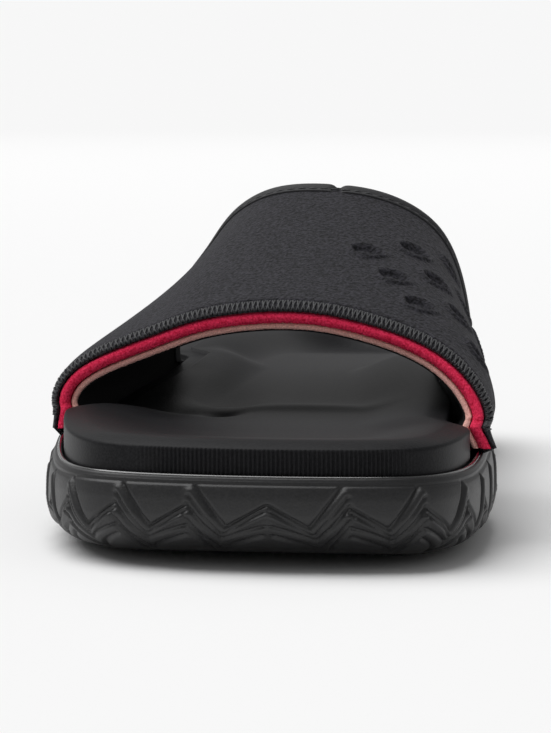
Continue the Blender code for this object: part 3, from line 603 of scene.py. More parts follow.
def dish_drop(x, y, inward):
    """How far the footbed's top lies below its rim, inward metres inside the rim's crest."""
    station = station_of(y)
    along = station[:, None] - BED_FORMS.station
    ahead = np.clip(-along, 0, None) / BED_FORMS.front
    behind = np.clip(along, 0, None) / BED_FORMS.rear
    across = (x[:, None] / BALL_WIDTH - BED_FORMS.out) / BED_FORMS.across
    rises = BED_FORMS.rise * np.exp(-ahead ** 2 - behind ** 2 - across ** 2)
    depth = DISH_DEPTH * read(DISH, "depth", station)
    return (depth - rises.sum(axis=1)) * smooth_step(inward / DISH_RUN)


def last_section(station, samples=420):
    """Section of the strap's outer face at a station, from lip to lip over the instep, as x and z."""
    blend = (station - FRONT_STATION) / (REAR_STATION - FRONT_STATION)
    top = STRAP_FRONT_HEIGHT + blend * (STRAP_REAR_HEIGHT - STRAP_FRONT_HEIGHT)
    lip = lip_height(station)
    widest = lip + STRAP_SWELL_HEIGHT
    feet = {}
    swells = {}
    for side, name in ((-1, "lateral"), (1, "medial")):
        swells[side] = STRAP_SWELL * read(SWELLS, name, station)
        feet[side] = side_x(side, SEAT_INSET, -LENGTH / 2 + station * LENGTH)

    shape = min(max(blend, 0.0), 1.0) ** 0.7
    out = LAST_SECTION.front_out * (1 - shape) + LAST_SECTION.rear_out * shape
    up = LAST_SECTION.front_up * (1 - shape) + LAST_SECTION.rear_up * shape
    xs = out * np.array([feet[side] + side * swells[side] for side in LAST_SECTION.side])
    zs = widest + up * (top - widest)
    lengths = walked(np.column_stack([xs, zs]))
    at = np.linspace(0, lengths[-1], samples)
    x = even_curve(lengths, xs, 0.0, 0.0, at)
    z = even_curve(lengths, zs, 1.0, -1.0, at)

    tuck = np.linspace(0, STRAP_SWELL_HEIGHT, 20, endpoint=False)
    swelled = smooth_step((tuck - STRAP_SWELL_START) / (STRAP_SWELL_HEIGHT - STRAP_SWELL_START))
    x = np.concatenate([feet[-1] - swells[-1] * swelled, x, (feet[1] + swells[1] * swelled)[::-1]])
    z = np.concatenate([lip + tuck, z, (lip + tuck)[::-1]])
    return x, z


def fix_normals(mesh):
    work = bmesh.new()
    work.from_mesh(mesh)
    bmesh.ops.recalc_face_normals(work, faces=work.faces)
    work.to_mesh(mesh)
    work.free()


def add_object(name, data):
    item = bpy.data.objects.new(name, data)
    bpy.context.collection.objects.link(item)
    return item


class Skin:
    """Points and faces of one piece, made of grids of rows and columns."""

    def __init__(self):
        self.points = []
        self.faces = []
        self.count = 0

    def add(self, grid):
        """Adds a grid of points, rows x columns x 3, and returns their numbers."""
        grid = np.asarray(grid, float)
        self.points.append(grid.reshape(-1, 3))
        numbers = np.arange(self.count, self.count + grid.shape[0] * grid.shape[1])
        self.count += len(numbers)
        return numbers.reshape(grid.shape[:2])

    def cover(self, numbers, around=False):
        """Four-sided faces over a grid; around closes it along its columns."""
        if around:
            numbers = np.concatenate([numbers, numbers[:, :1]], axis=1)
        quads = np.stack([numbers[:-1, :-1], numbers[:-1, 1:], numbers[1:, 1:], numbers[1:, :-1]], axis=-1)
        self.faces.extend(map(tuple, quads.reshape(-1, 4).tolist()))

    def cap(self, *rims):
        """One flat face across each of the rims."""
        self.faces.extend(tuple(rim.tolist()) for rim in rims)

    def lid(self, ring):
        """Triangles from side to side across a ring that starts at the toe."""
        points = np.concatenate(self.points)
        heel = int(np.argmax(points[ring][:, 1]))
        medial = ring[:heel + 1].tolist()
        lateral = [int(ring[0])] + ring[:heel - 1:-1].tolist()
        i = 0
        j = 0
        while i < len(medial) - 1 or j < len(lateral) - 1:
            step_medial = j == len(lateral) - 1
            if not step_medial and i < len(medial) - 1:
                step_medial = points[medial[i + 1], 1] <= points[lateral[j + 1], 1]
            if step_medial:
                face = (lateral[j], medial[i], medial[i + 1])
                i += 1
            else:
                face = (lateral[j], medial[i], lateral[j + 1])
                j += 1
            if len(set(face)) == 3:
                self.faces.append(face)

    def tube(self, path, radius, sides=6):
        """A closed round thread along a short path, thinner at its two ends."""
        path = np.asarray(path, float)
        along = unit(np.gradient(path, axis=0))
        side = unit(np.cross(along, (0.13, 0.21, 0.97)))
        up = np.cross(side, along)
        turns = (np.arange(sides) * 2 * math.pi / sides)[:, None]
        widths = np.full(len(path), radius)
        widths[[0, -1]] *= 0.55
        ring = side[:, None] * np.cos(turns) + up[:, None] * np.sin(turns)
        numbers = self.add(path[:, None] + ring * widths[:, None, None])
        self.cover(numbers, around=True)
        self.cap(numbers[0, ::-1], numbers[-1])

    def build(self, name, paint, slot, *nodes):
        mesh = bpy.data.meshes.new(name)
        mesh.from_pydata(np.concatenate(self.points).tolist(), [], self.faces)
        fix_normals(mesh)
        mesh.shade_smooth()
        mesh.materials.append(paint.material)
        piece = add_object(name, mesh)
        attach(piece, "root")
        if nodes:
            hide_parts(*nodes)
        return piece


class Paint:
    """A material whose shader inputs, colour mix and bumps are set one by one."""

    def __init__(self, name, roughness, **inputs):
        self.material = bpy.data.materials.new(name)
        self.material.use_nodes = True
        self.tree = self.material.node_tree
        self.shader = self.tree.nodes["Principled BSDF"]
        self.shader.inputs["Roughness"].default_value = roughness
        for key, value in inputs.items():
            self.shader.inputs[key.replace("_", " ")].default_value = value
        self.place = self.tree.nodes.new("ShaderNodeTexCoord").outputs["Object"]
        self.normal = None

    def node(self, kind, values=(), links=()):
        node = self.tree.nodes.new("ShaderNode" + kind)
        for key, value in values:
            node.inputs[key].default_value = value
        for key, source in links:
            self.tree.links.new(source, node.inputs[key])
        return node

    def noise(self, size, detail):
        """Noise whose grain is about size metres."""
        values = (("Scale", 1 / size), ("Detail", detail))
        return self.node("TexNoise", values, [("Vector", self.place)]).outputs["Fac"]

    def cells(self, size):
        """Round cells about size metres apart."""
        return self.node("TexVoronoi", [("Scale", 1 / size)], [("Vector", self.place)]).outputs["Distance"]

    def ramp(self, source, low, high, first, second):
        """Two colours blended where the source goes from low to high."""
        node = self.node("ValToRGB", links=[("Fac", source)])
        for element, place, colour in zip(node.color_ramp.elements, (low, high), (first, second)):
            element.position = place
            element.color = (*colour, 1)
        return node.outputs["Color"]

    def mix(self, share, first, second):
        node = self.node("Mix")
        node.data_type = "RGBA"
        for key, source in ((0, share), (6, first), (7, second)):
            self.tree.links.new(source, node.inputs[key])
        return node.outputs[2]

    def colour(self, source):
        self.tree.links.new(source, self.shader.inputs["Base Color"])

    def rough(self, source, low, high):
        node = self.node("MapRange", (("To Min", low), ("To Max", high)), [("Value", source)])
        self.tree.links.new(node.outputs["Result"], self.shader.inputs["Roughness"])

    def bump(self, source, height, strength):
        """Raises the surface by up to height metres where the source is 1."""
        node = self.node("Bump", (("Distance", height), ("Strength", strength)), [("Height", source)])
        if self.normal:
            self.tree.links.new(self.normal, node.inputs["Normal"])
        self.normal = node.outputs["Normal"]
        self.tree.links.new(self.normal, self.shader.inputs["Normal"])


def rubber():
    paint = Paint("outsole_rubber", 0.46, Specular_IOR_Level=0.52)
    grain = paint.noise(0.6 * MM, 3)
    dark = paint.ramp(grain, 0.35, 0.72, (0.0050, 0.0050, 0.0056), (0.0105, 0.0105, 0.0116))
    dusty = paint.ramp(grain, 0.30, 0.75, (0.0095, 0.0095, 0.0100), (0.0190, 0.0190, 0.0200))
    paint.colour(paint.mix(paint.noise(22 * MM, 2), dark, dusty))
    paint.rough(grain, 0.34, 0.52)
    paint.bump(paint.noise(0.5 * MM, 3), 0.10 * MM, 0.5)
    return paint


def gloss_rubber():
    paint = Paint("outsole_gloss_rubber", 0.2, Specular_IOR_Level=0.9, Coat_Weight=1.0, Coat_Roughness=0.15)
    grain = paint.noise(0.9 * MM, 2)
    paint.colour(paint.ramp(grain, 0.35, 0.72, (0.0060, 0.0060, 0.0066), (0.0120, 0.0120, 0.0130)))
    paint.rough(grain, 0.15, 0.34)
    return paint


def foam():
    paint = Paint("footbed_foam", 0.44, Specular_IOR_Level=0.07)
    grain = paint.noise(0.5 * MM, 2)
    paint.colour(paint.ramp(grain, 0.35, 0.70, (0.0110, 0.0110, 0.0120), (0.0200, 0.0200, 0.0216)))
    paint.rough(grain, 0.36, 0.50)
    paint.bump(paint.cells(0.75 * MM), 0.05 * MM, 0.45)
    paint.bump(grain, 0.05 * MM, 0.5)
    return paint


def cloth():
    paint = Paint("strap_cloth", 0.8, Specular_IOR_Level=0.22, Sheen_Weight=0.05, Sheen_Roughness=0.5)
    grain = paint.noise(0.80 * MM, 3)
    dark = paint.ramp(grain, 0.36, 0.66, (0.0020, 0.0019, 0.0032), (0.0290, 0.0280, 0.0360))
    light = paint.ramp(grain, 0.36, 0.66, (0.0036, 0.0034, 0.0052), (0.0400, 0.0385, 0.0480))
    paint.colour(paint.mix(paint.noise(9 * MM, 3), dark, light))
    paint.bump(grain, 0.48 * MM, 1.0)
    paint.bump(paint.noise(1.3 * MM, 2), 0.34 * MM, 0.7)
    return paint


def grained(paint, size, detail, low, first, second, height, strength):
    """Dresses a paint with one grain, which blends its two colours and raises its surface."""
    grain = paint.noise(size, detail)
    paint.colour(paint.ramp(grain, low, 0.70, first, second))
    paint.bump(grain, height, strength)
    return paint


def side_relief(signed, down):
    """How far the sole's side stands out, by length along the outline from the toe and below the lip."""
    relief = -LIP_GROOVE_DEPTH * np.exp(-((down - LIP_GROOVE_DROP) / LIP_GROOVE_WIDTH) ** 2)
    out = np.abs(signed)
    for lines, width, rise in (
        (SIDE_GROOVES, SIDE_LINE_WIDTH, -SIDE_LINE_DEPTH),
        (SIDE_RIDGES, SIDE_RIDGE_WIDTH, SIDE_RIDGE_RISE),
    ):
        share = np.zeros(relief.shape)
        for start in np.arange(int(PERIMETER / 2 / CHEVRON_PITCH) + 2) * CHEVRON_PITCH:
            near = (out > start - 4 * MM) & (out < start + 25 * MM)
            for line in lines:
                for first, second in zip(np.array(line) * MM, np.array(line[1:]) * MM):
                    run = second - first
                    t = out[None, near] - start - first[0]
                    d = down[:, near] - first[1]
                    on = np.clip((t * run[0] + d * run[1]) / (run @ run), 0, 1)
                    away = np.hypot(t - on * run[0], d - on * run[1])
                    share[:, near] = np.maximum(share[:, near], np.exp(-(away / width) ** 2))
        relief += rise * share
    return relief


def ring(points, normals, inset, height):
    """A row of points: the outline moved in by the inset, at heights given by the station."""
    spot = points - normals * inset
    return np.column_stack([spot, height(station_of(spot[:, 1]))])


def build_bowl(name, rows, *dress):
    """A piece of rows round the outline, closed inside its last row."""
    skin = Skin()
    numbers = skin.add(rows)
    skin.cover(numbers, around=True)
    skin.lid(numbers[-1])
    skin.build(name, *dress)


def build_outsole(paint):
    """The cup's side with its zigzag relief, its rounded lip and its inner wall."""
    lengths = np.arange(SIDE_COLUMNS) * PERIMETER / SIDE_COLUMNS
    points, normals = loop_at(lengths)
    shares = np.concatenate([np.linspace(0, 0.1, 8)[:-1], np.linspace(0.1, 0.965, 52)])
    grid = np.array([
        ring(points, normals, wall_inset(share), lambda station: wall_height(station, share))
        for share in shares
    ])
    out = unit(np.cross(np.roll(grid, -1, axis=1) - np.roll(grid, 1, axis=1), np.gradient(grid, axis=0)))
    down = np.outer((1 - shares) * LIP_BALL_HEIGHT, np.ones(SIDE_COLUMNS))
    relief = side_relief(signed_lengths(lengths), down) * smooth_step(shares / SIDE_RELIEF_START)[:, None]
    rows = list(grid + out * relief[:, :, None])

    start = wall_inset(shares[-1])
    middle = (start + CUP_INNER_INSET) / 2
    half = (CUP_INNER_INSET - start) / 2
    for angle in np.linspace(0, math.pi, 10)[1:]:
        top = 1 - LIP_ROUNDING * (1 - math.sin(angle))
        inset = middle - half * math.cos(angle)
        rows.append(ring(points, normals, inset, lambda station: wall_height(station, top)))
    for share in (0.5, 0.0):
        rows.append(ring(
            points, normals, CUP_INNER_INSET,
            lambda station: wall_height(station, share) + CUP_FLOOR * (1 - share),
        ))
    build_bowl("outsole_side", rows, paint, "outsole_rubber", "outsole")


def build_lip_bead(paint):
    """Thin glossy bead on the lip's inner edge, where the rubber is trimmed."""
    points, normals = even_loop(LIP_BEAD_COLUMNS)
    rows = []
    for angle in np.linspace(0, 2 * math.pi, 12, endpoint=False):
        inset = CUP_INNER_INSET - LIP_BEAD_RADIUS + LIP_BEAD_RADIUS * math.sin(angle)
        rise = LIP_BEAD_RADIUS * math.cos(angle) - LIP_BEAD_DROP
        rows.append(ring(points, normals, inset, lambda station: lip_height(station) + rise))
    skin = Skin()
    numbers = skin.add(rows)
    skin.cover(np.concatenate([numbers, numbers[:1]]), around=True)
    skin.build("outsole_lip_bead", paint, "outsole_rubber")


def build_tread_cutter():
    """Zigzag bars that cut the tread's grooves, clear of the rolled edge."""
    skin = Skin()
    margin = TREAD_INSET + TREAD_GROOVE_WIDTH
    for row in range(1, int(LENGTH / TREAD_PITCH)):
        centre = -LENGTH / 2 + row * TREAD_PITCH
        if min(centre + LENGTH / 2, LENGTH / 2 - centre) < margin + TREAD_ZIGZAG_RISE:
            continue
        left = side_x(-1, margin, centre) + TREAD_GROOVE_WIDTH
        right = side_x(1, margin, centre) - TREAD_GROOVE_WIDTH
        bends = max(2, 2 * round((right - left) / TREAD_ZIGZAG_PITCH))
        xs = np.linspace(left, right, bends + 1)
        ys = centre + TREAD_ZIGZAG_RISE * (np.arange(bends + 1) % 2 - 0.5)
        bar = []
        for half, rise in ((-1, -1), (1, -1), (1, 1), (-1, 1)):
            y = ys + half * TREAD_GROOVE_WIDTH / 2
            bar.append(np.column_stack([xs, y, underside(station_of(y)) + rise * TREAD_GROOVE_DEPTH]))
        numbers = skin.add(np.swapaxes(bar, 0, 1))
        skin.cover(numbers, around=True)
        skin.cap(numbers[0, ::-1], numbers[-1])
    mesh = bpy.data.meshes.new("tread_cutter")
    mesh.from_pydata(np.concatenate(skin.points).tolist(), [], skin.faces)
    fix_normals(mesh)
    return add_object("tread_cutter", mesh)


def build_tread(paint):
    """The tread's face with its zigzag grooves, closed above inside the cup."""
    points, normals = even_loop(TREAD_COLUMNS)
    rows = [
        ring(points, normals, TREAD_INSET, lambda station: underside(station) + rise)
        for rise in (0, TREAD_THICKNESS)
    ]
    skin = Skin()
    numbers = skin.add(rows)
    skin.cover(numbers, around=True)
    skin.lid(numbers[0])
    skin.lid(numbers[1])
    tread = skin.build("outsole_tread", paint, "outsole_rubber")
    cutter = build_tread_cutter()
    cut = tread.modifiers.new("tread", "BOOLEAN")
    cut.operation = "DIFFERENCE"
    cut.solver = "EXACT"
    cut.object = cutter
    bpy.context.view_layer.update()
    shape = bpy.context.evaluated_depsgraph_get()
    mesh = bpy.data.meshes.new_from_object(tread.evaluated_get(shape))
    tread.modifiers.clear()
    tread.data = mesh
    mesh.shade_flat()
    bpy.data.objects.remove(cutter, do_unlink=True)


def rib_wave(signed):
    """Ribs of the toe's wall, 0 on a crest and 1 in a valley, fading out at both ends."""
    wave = 1 - np.abs(np.sin(math.pi * signed / RIB_PITCH))
    lateral = smooth_step((signed + RIB_LATERAL_END) / RIB_FADE)
    return wave * lateral * smooth_step((RIB_MEDIAL_END - signed) / RIB_FADE)


def crown_drop(station):
    """How far the bed's outer edge lies below its crest: most at the toe."""
    return BED_CROWN_DROP * (1 - 0.65 * smooth_step(station / 0.30))


def shoulder_drop(x, y):
    """How far the bed's lateral rim is lowered under the strap."""
    station = station_of(y)
    along = smooth_step((station - SHOULDER_START) / SHOULDER_START_RAMP)
    along = along * smooth_step((SHOULDER_END - station) / SHOULDER_END_RAMP)
    return SHOULDER_DROP * along * smooth_step(-x / (0.12 * BALL_WIDTH))


def bed_rim(spot):
    return read(SIDE_HEIGHTS, "rim", station_of(spot[:, 1])) - shoulder_drop(*spot.T)


class DistanceField:
    """Distances from the rim's crest over the bed, rounded off where opposite sides meet."""

    def __init__(self, crest):
        along = walked(crest)
        self.crest = crest[np.unique(np.searchsorted(along, np.arange(0, along[-1], 1.1 * MM)))]
        self.low = crest.min(axis=0) - 2 * DISH_CELL
        count = np.ceil((crest.max(axis=0) + 2 * DISH_CELL - self.low) / DISH_CELL).astype(int) + 1
        i, j = np.meshgrid(np.arange(count[0]), np.arange(count[1]), indexing="ij")
        rounded = self.to_crest(self.low[0] + i * DISH_CELL, self.low[1] + j * DISH_CELL)
        for _ in range(10):
            wide = np.pad(rounded, 1, mode="edge")
            beside = wide[:-2, 1:-1] + wide[2:, 1:-1] + wide[1:-1, :-2] + wide[1:-1, 2:]
            rounded = beside / 8 + rounded / 2
        self.rounded = rounded

    def to_crest(self, x, y):
        return np.hypot(x[..., None] - self.crest[:, 0], y[..., None] - self.crest[:, 1]).min(axis=-1)

    def inward(self, x, y):
        true = self.to_crest(x, y)
        i = (x - self.low[0]) / DISH_CELL
        j = (y - self.low[1]) / DISH_CELL
        share = smooth_step((true - 2 * MM) / (6 * MM))
        return true + (bilinear(self.rounded, i, j) - true) * share


def build_footbed(paint):
    """Foam bed: ribbed wall at the toe, rounded rim and dished top."""
    fine = np.arange(-RIBBED_HALF, RIBBED_HALF, RIB_PITCH / 6)
    coarse = np.arange(RIBBED_HALF, PERIMETER - RIBBED_HALF - 0.6 * MM, 1.2 * MM)
    lengths = np.mod(np.concatenate([fine[fine >= 0], coarse, fine[fine < 0]]), PERIMETER)
    points, normals = loop_at(lengths)
    base = SEAT_INSET + strap_recess(points, normals) * RECESS_DEPTH
    ribs = RIB_DEPTH * rib_wave(signed_lengths(lengths))
    rows = []
    for share in np.linspace(0, 1, 12):
        spot = points - normals * (base + ribs * smooth_step((share - 0.06) / 0.08))[:, None]
        station = station_of(spot[:, 1])
        low = lip_height(station) - BED_FOOT_DEPTH
        high = bed_rim(spot) - crown_drop(station) - BED_EDGE_RADIUS
        rows.append(np.column_stack([spot, low + (high - low) * share]))
    for angle in np.linspace(0, BED_EDGE_TURN, 8)[1:]:
        ribbed = 1 - smooth_step(angle / math.radians(60))
        inward = BED_EDGE_RADIUS * (1 - math.cos(angle))
        below = BED_EDGE_RADIUS * (1 - math.sin(angle))
        spot = points - normals * (base + inward + ribs * ribbed)[:, None]
        rows.append(np.column_stack([spot, bed_rim(spot) - crown_drop(station_of(spot[:, 1])) - below]))
    edge = points - normals * (base + inward)[:, None]
    crest = points - normals * (base + BED_CROWN_RUN)[:, None]
    for share in np.linspace(0, 1, 10)[1:]:
        spot = edge + (crest - edge) * share
        crown = crown_drop(station_of(spot[:, 1])) + below
        rows.append(np.column_stack([spot, bed_rim(spot) - crown * (1 - share) ** 1.6]))
    spine = crest * (0, SPINE_SHARE) + (SPINE_SHIFT, 0)
    field = DistanceField(crest)
    for share in np.linspace(0, 0.985, 62)[1:] ** 1.25:
        spot = crest + (spine - crest) * share
        x, y = spot.T
        shoulder = shoulder_drop(x, y)
        dish = dish_drop(x, y, field.inward(x, y))
        blend = np.hypot(dish - shoulder, SHOULDER_BLEND) - SHOULDER_BLEND
        rows.append(np.column_stack([spot, bed_rim(spot) + (shoulder - dish - blend) / 2]))
    build_bowl("footbed_bed", rows, paint, "footbed_foam", "footbed")


SECTION_STATIONS = np.linspace(0.14, 0.66, 261)
SECTION_SHARES = np.linspace(0, 1, 501)


def section_tables():
    """Sections of the strap at even stations: x and z by share of the girth, and the girths."""
    rows = []
    for station in SECTION_STATIONS:
        x, z = last_section(station)
        lengths = walked(np.column_stack([x, z]))
        at = SECTION_SHARES * lengths[-1]
        rows.append((np.interp(at, lengths, x), np.interp(at, lengths, z), lengths[-1]))
    return map(np.array, zip(*rows))


SECTION_X, SECTION_Z, SECTION_GIRTHS = section_tables()


def section_spot(station, share):
    """Points on the strap's outer face at stations and shares of their girths."""
    i = (station - SECTION_STATIONS[0]) / (SECTION_STATIONS[1] - SECTION_STATIONS[0])
    j = np.clip(share, 0, 1) * (len(SECTION_SHARES) - 1)
    y = -LENGTH / 2 + station * LENGTH
    return np.stack([bilinear(SECTION_X, i, j), y, bilinear(SECTION_Z, i, j)], axis=-1)


class StrapField:
    """The strap's outer face as columns over the instep, from the lateral foot to the medial one.
    Each column runs from the front edge to the rear edge and knows its directions outwards."""

    def __init__(self, middles, seat_steps=3, samples=161):
        whole = np.arange(len(SEAT_COLUMNS.above))
        index = np.linspace(0, whole[-1], whole[-1] * seat_steps + 1)
        above = np.interp(index, whole, SEAT_COLUMNS.above) * STRAP_SWELL_HEIGHT
        below = np.interp(index, whole, SEAT_COLUMNS.below) * STRAP_SEAT_DEPTH
        follows = np.interp(index, whole, SEAT_COLUMNS.follows)
        way = np.linspace(0, 1, samples)
        lift = np.interp(way, STRAP_FOOT.along, STRAP_FOOT.lift) * CORNER_LIFT
        seat = np.interp(way, STRAP_FOOT.along, STRAP_FOOT.seat) * STRAP_SEAT_DEPTH
        flare = 1 - smooth_step(way / CORNER_FLARE_END)
        feet = []
        inner = []
        for side in (0, 1):
            front, rear = strap_stations(side)
            station = front + (rear - front) * way
            girth = np.interp(station, SECTION_STATIONS, SECTION_GIRTHS)
            columns = []
            for a, b, f in zip(above, below, follows):
                over = a - b + f * (lift - seat + STRAP_SEAT_DEPTH)
                spots = section_spot(station, np.abs(side - np.maximum(over, 0) / girth))
                widest = section_spot(station, np.abs(side - np.maximum(over, STRAP_SWELL_HEIGHT) / girth))
                spots[:, 0] += flare * (widest[:, 0] - spots[:, 0])
                low = 1 - np.clip(over / STRAP_SWELL_HEIGHT, 0, 1)
                spots[:, 0] += (2 * side - 1) * CORNER_SPREAD[side] * flare * low
                spots[:, 2] += np.minimum(over, 0)
                columns.append(spots)
            feet.append(columns)
            inner.append(np.abs(side - over / girth))
        centre = []
        self.turns = []
        for share in middles:
            turn = inner[0] + (inner[1] - inner[0]) * share
            front, rear = strap_stations(turn)
            centre.append(section_spot(front + (rear - front) * way, turn))
            self.turns.append(turn[-1])
        self.seats = len(index)
        self.points = np.array(feet[0] + centre + feet[1][::-1])
        self.count = len(self.points)
        self.run = np.array([walked(line) for line in self.points])
        self.length = self.run[:, -1]
        self.out = self.directions()
        self.ahead = unit(self.points[:, 0] - self.points[:, 2])
        self.behind = unit(self.points[:, -1] - self.points[:, -3])

    def directions(self, ramp=10):
        """Outward directions, level near the feet."""
        out = unit(np.cross(np.gradient(self.points, axis=0), np.gradient(self.points, axis=1)))
        beside = np.arange(self.seats + ramp)
        for rows in (beside, self.count - 1 - beside):
            level = unit(out[rows[self.seats]] * (1, 1, 0))
            for k, row in enumerate(rows):
                share = smooth_step((k - self.seats + 1) / ramp)
                out[row] = unit(level * (1 - share) + out[row] * share)
        return out

    def on_column(self, j, run, depth):
        """Points of one column at lengths from its front edge and depths below the face."""
        at = np.clip(run, 0, self.length[j])
        point, out = (
            np.stack([np.interp(at, self.run[j], source[j, :, k]) for k in range(3)], axis=-1)
            for source in (self.points, self.out)
        )
        before = np.minimum(run, 0)[..., None]
        after = np.maximum(run - self.length[j], 0)[..., None]
        return point - out * depth[..., None] - self.ahead[j] * before + self.behind[j] * after

    def place(self, run, depth):
        """Points at lengths from the front edge and depths below the face, rows x columns each."""
        columns = [self.on_column(j, run[:, j], depth[:, j]) for j in range(self.count)]
        return np.stack(columns, axis=1)

    def between(self, at, run, depth):
        """A point of the strap between two columns."""
        low = min(int(at), self.count - 2)
        near, far = (
            self.on_column(j, np.minimum(run, self.length[j]), np.float64(depth)) for j in (low, low + 1)
        )
        return near + (far - near) * (at - low)

    def rows(self, front, shares, rear):
        """Runs of rows: lengths behind the front edge, shares between, lengths before the rear edge."""
        front = np.asarray(front, float)[:, None] + np.zeros(self.count)
        rear = self.length - np.asarray(rear, float)[:, None]
        between = front[-1] + (rear[0] - front[-1]) * np.asarray(shares, float)[:, None]
        return np.concatenate([front, between, rear])


def layer_loop(field, ahead, depth, thickness, front, shares, rear, under, relief=None):
    """Closed rows of one layer: over the top, round the rear edge, back below, round the front."""
    radius = thickness / 2
    top = field.rows(front, shares, rear)
    top_depth = np.full(top.shape, depth)
    if relief is not None:
        top_depth = top_depth - relief(field, top)
    turns = np.linspace(0, math.pi, 9)[1:-1][:, None]
    round_edge = radius * np.sin(turns) - radius
    round_depth = depth + radius - radius * np.cos(turns) + np.zeros(field.count)
    low = field.rows([radius - ahead], under, [radius])[::-1]
    front_edge = -ahead - round_edge[::-1] + np.zeros(field.count)
    runs = np.concatenate([top, field.length + round_edge, low, front_edge])
    depths = [top_depth, round_depth, np.full(low.shape, depth + thickness), round_depth[::-1]]
    return runs, np.concatenate(depths)


def build_layer(name, field, runs, depths, paint, slot, *nodes):
    """One closed layer from its rows, with its two cut ends."""
    skin = Skin()
    numbers = skin.add(field.place(runs, depths))
    skin.cover(np.concatenate([numbers, numbers[:1]]))
    skin.cap(numbers[:, 0], numbers[::-1, -1])
    skin.build(name, paint, slot, *nodes)


def dimple_axes(turn, along):
    """Centre of a dimple on the strap's face, and its directions over and along the instep."""
    spots = []
    for step_turn, step_along in ((0, 0), (0.01, 0), (0, 0.01)):
        front, rear = strap_stations(turn + step_turn)
        station = front + (rear - front) * (along + DIMPLE_SHIFT + step_along)
        spots.append(section_spot(np.array([station]), np.array([turn + step_turn]))[0])
    across = unit(spots[1] - spots[0])
    along = spots[2] - spots[0]
    return spots[0], across, unit(along - across * (along @ across))


def dimple_relief(points):
    """Pressed lens-shaped dimples with a rolled lip and a low curl inside."""
    relief = np.zeros(points.shape[:2])
    for turn, place in zip(*DIMPLES):
        centre, across, along = dimple_axes(turn, place)
        offset = points - centre
        near = np.linalg.norm(offset, axis=2) < DIMPLE_LENGTH
        a = offset[near] @ across / (DIMPLE_LENGTH / 2)
        b = -(offset[near] @ along) / (DIMPLE_WIDTH / 2) + 0.16 * a * a - 0.08
        away = (np.abs(a) ** 1.55 + np.abs(b) ** 1.7) ** (1 / 1.6)
        floor = smooth_step((1 - away) / (0.26 + 0.5 * np.clip(-b, 0, 1)))
        pressed = DIMPLE_DEPTH * (0.78 + 0.22 * np.clip(b, 0, 1))
        curl = DIMPLE_CURL_RISE * np.exp(-((a + 0.15) / 0.34) ** 2 - ((b + 0.05) / 0.26) ** 2)
        lip = DIMPLE_LIP_RISE * np.exp(-((away - 1.10) / 0.15) ** 2) * (0.25 + 0.75 * smooth_step(b + 0.3))
        relief[near] = lip + (curl - pressed) * floor
    return relief


def edge_taper(run):
    """How far the outer strap's face drops towards its front edge, by length behind the edge."""
    return 2 * EDGE_TAPER_DROP * (1 - smooth_step(0.5 + 0.5 * np.maximum(run, 0) / EDGE_TAPER_RUN))


def upper_relief(field, run):
    """How far the outer strap's face stands out: dimples, the front band and its groove."""
    groove = np.exp(-((run - EDGE_BAND) / EDGE_GROOVE_WIDTH) ** 2)
    band = smooth_step((EDGE_BAND - 0.4 * MM - run) / (0.8 * MM))
    dimples = dimple_relief(field.place(run, np.zeros(run.shape)))
    return dimples - EDGE_GROOVE_DEPTH * groove + EDGE_BAND_RISE * band


def build_upper(paint):
    lateral = np.linspace(0, 0.56, 84)[1:]
    medial = np.linspace(0.56, 1, 156)[1:-1]
    field = StrapField(np.concatenate([lateral, medial]))
    front = np.concatenate([[1.0], np.arange(1.35, 7.0, 0.35)]) * MM
    rear = np.concatenate([np.arange(5.0, 1.1, -0.8), [1.0]]) * MM
    shares = np.linspace(0, 1, 150)[1:-1]
    under = np.linspace(0, 1, 30)[1:-1]
    runs, depths = layer_loop(field, 0.0, 0.0, OUTER_THICKNESS, front, shares, rear, under, upper_relief)
    left = 1 - edge_taper(runs) / OUTER_THICKNESS
    depths = OUTER_THICKNESS - (OUTER_THICKNESS - depths) * left
    build_layer("upper_outer", field, runs, depths, paint, "strap_cloth", "upper")


def build_inner_layer(field, name, ahead, depth, thickness, front, rear, random, fuzz, *dress):
    """A layer under the outer strap, whose front edge is fuzzy by up to the two lengths in mm."""
    shares = np.linspace(0, 1, 34)[1:-1]
    runs, depths = layer_loop(field, ahead, depth, thickness, front, shares, (2.0 * MM, rear), shares)
    soft = smooth_step((FUZZ_RUN - runs) / FUZZ_RAMP) * MM
    depths = depths + random.uniform(-fuzz[0], fuzz[0], runs.shape) * soft
    runs = runs + random.uniform(-fuzz[1], fuzz[1], runs.shape) * soft
    build_layer(name, field, runs, depths, *dress)


def build_inner_layers(felt, lining, shade_cloth):
    """The layers under the outer strap, from the felt inwards; the innermost is a near-black sheet, painted
    shade for the strap's shaded inside.
    """
    field = StrapField(np.linspace(0, 1, 400)[1:-1])
    random = np.random.default_rng(5)
    depth = OUTER_THICKNESS + GAP
    half = MIDLAYER_THICKNESS / 2
    build_inner_layer(
        field, "strap_felt", MIDLAYER_REVEAL, depth, MIDLAYER_THICKNESS,
        (half - MIDLAYER_REVEAL, 0.6 * MM, 1.0 * MM, 1.6 * MM, 3.0 * MM), half,
        random, (0.10, 0.12), felt, "strap_felt", "upper_midlayer",
    )
    depth += MIDLAYER_THICKNESS + GAP
    build_inner_layer(
        field, "strap_lining", 0.0, depth, LINING_THICKNESS,
        (LINING_THICKNESS / 2, 1.2 * MM, 2.0 * MM, 3.0 * MM), half,
        random, (0.06, 0.07), lining, "strap_lining", "upper_lining",
    )
    # Innermost, a thin near-black sheet set back from the front edge: its dark colour is painted shade
    # inside the strap.
    depth += LINING_THICKNESS + SHADE_CLOTH_CLEARANCE
    build_inner_layer(
        field, "strap_painted_shade_cloth", -SHADE_CLOTH_SETBACK, depth, SHADE_CLOTH_THICKNESS,
        (0.6 * MM, 1.2 * MM, 2.0 * MM, 3.0 * MM), SHADE_CLOTH_THICKNESS / 2,
        random, (0.0, 0.0), shade_cloth, "strap_lining",
    )
    return field


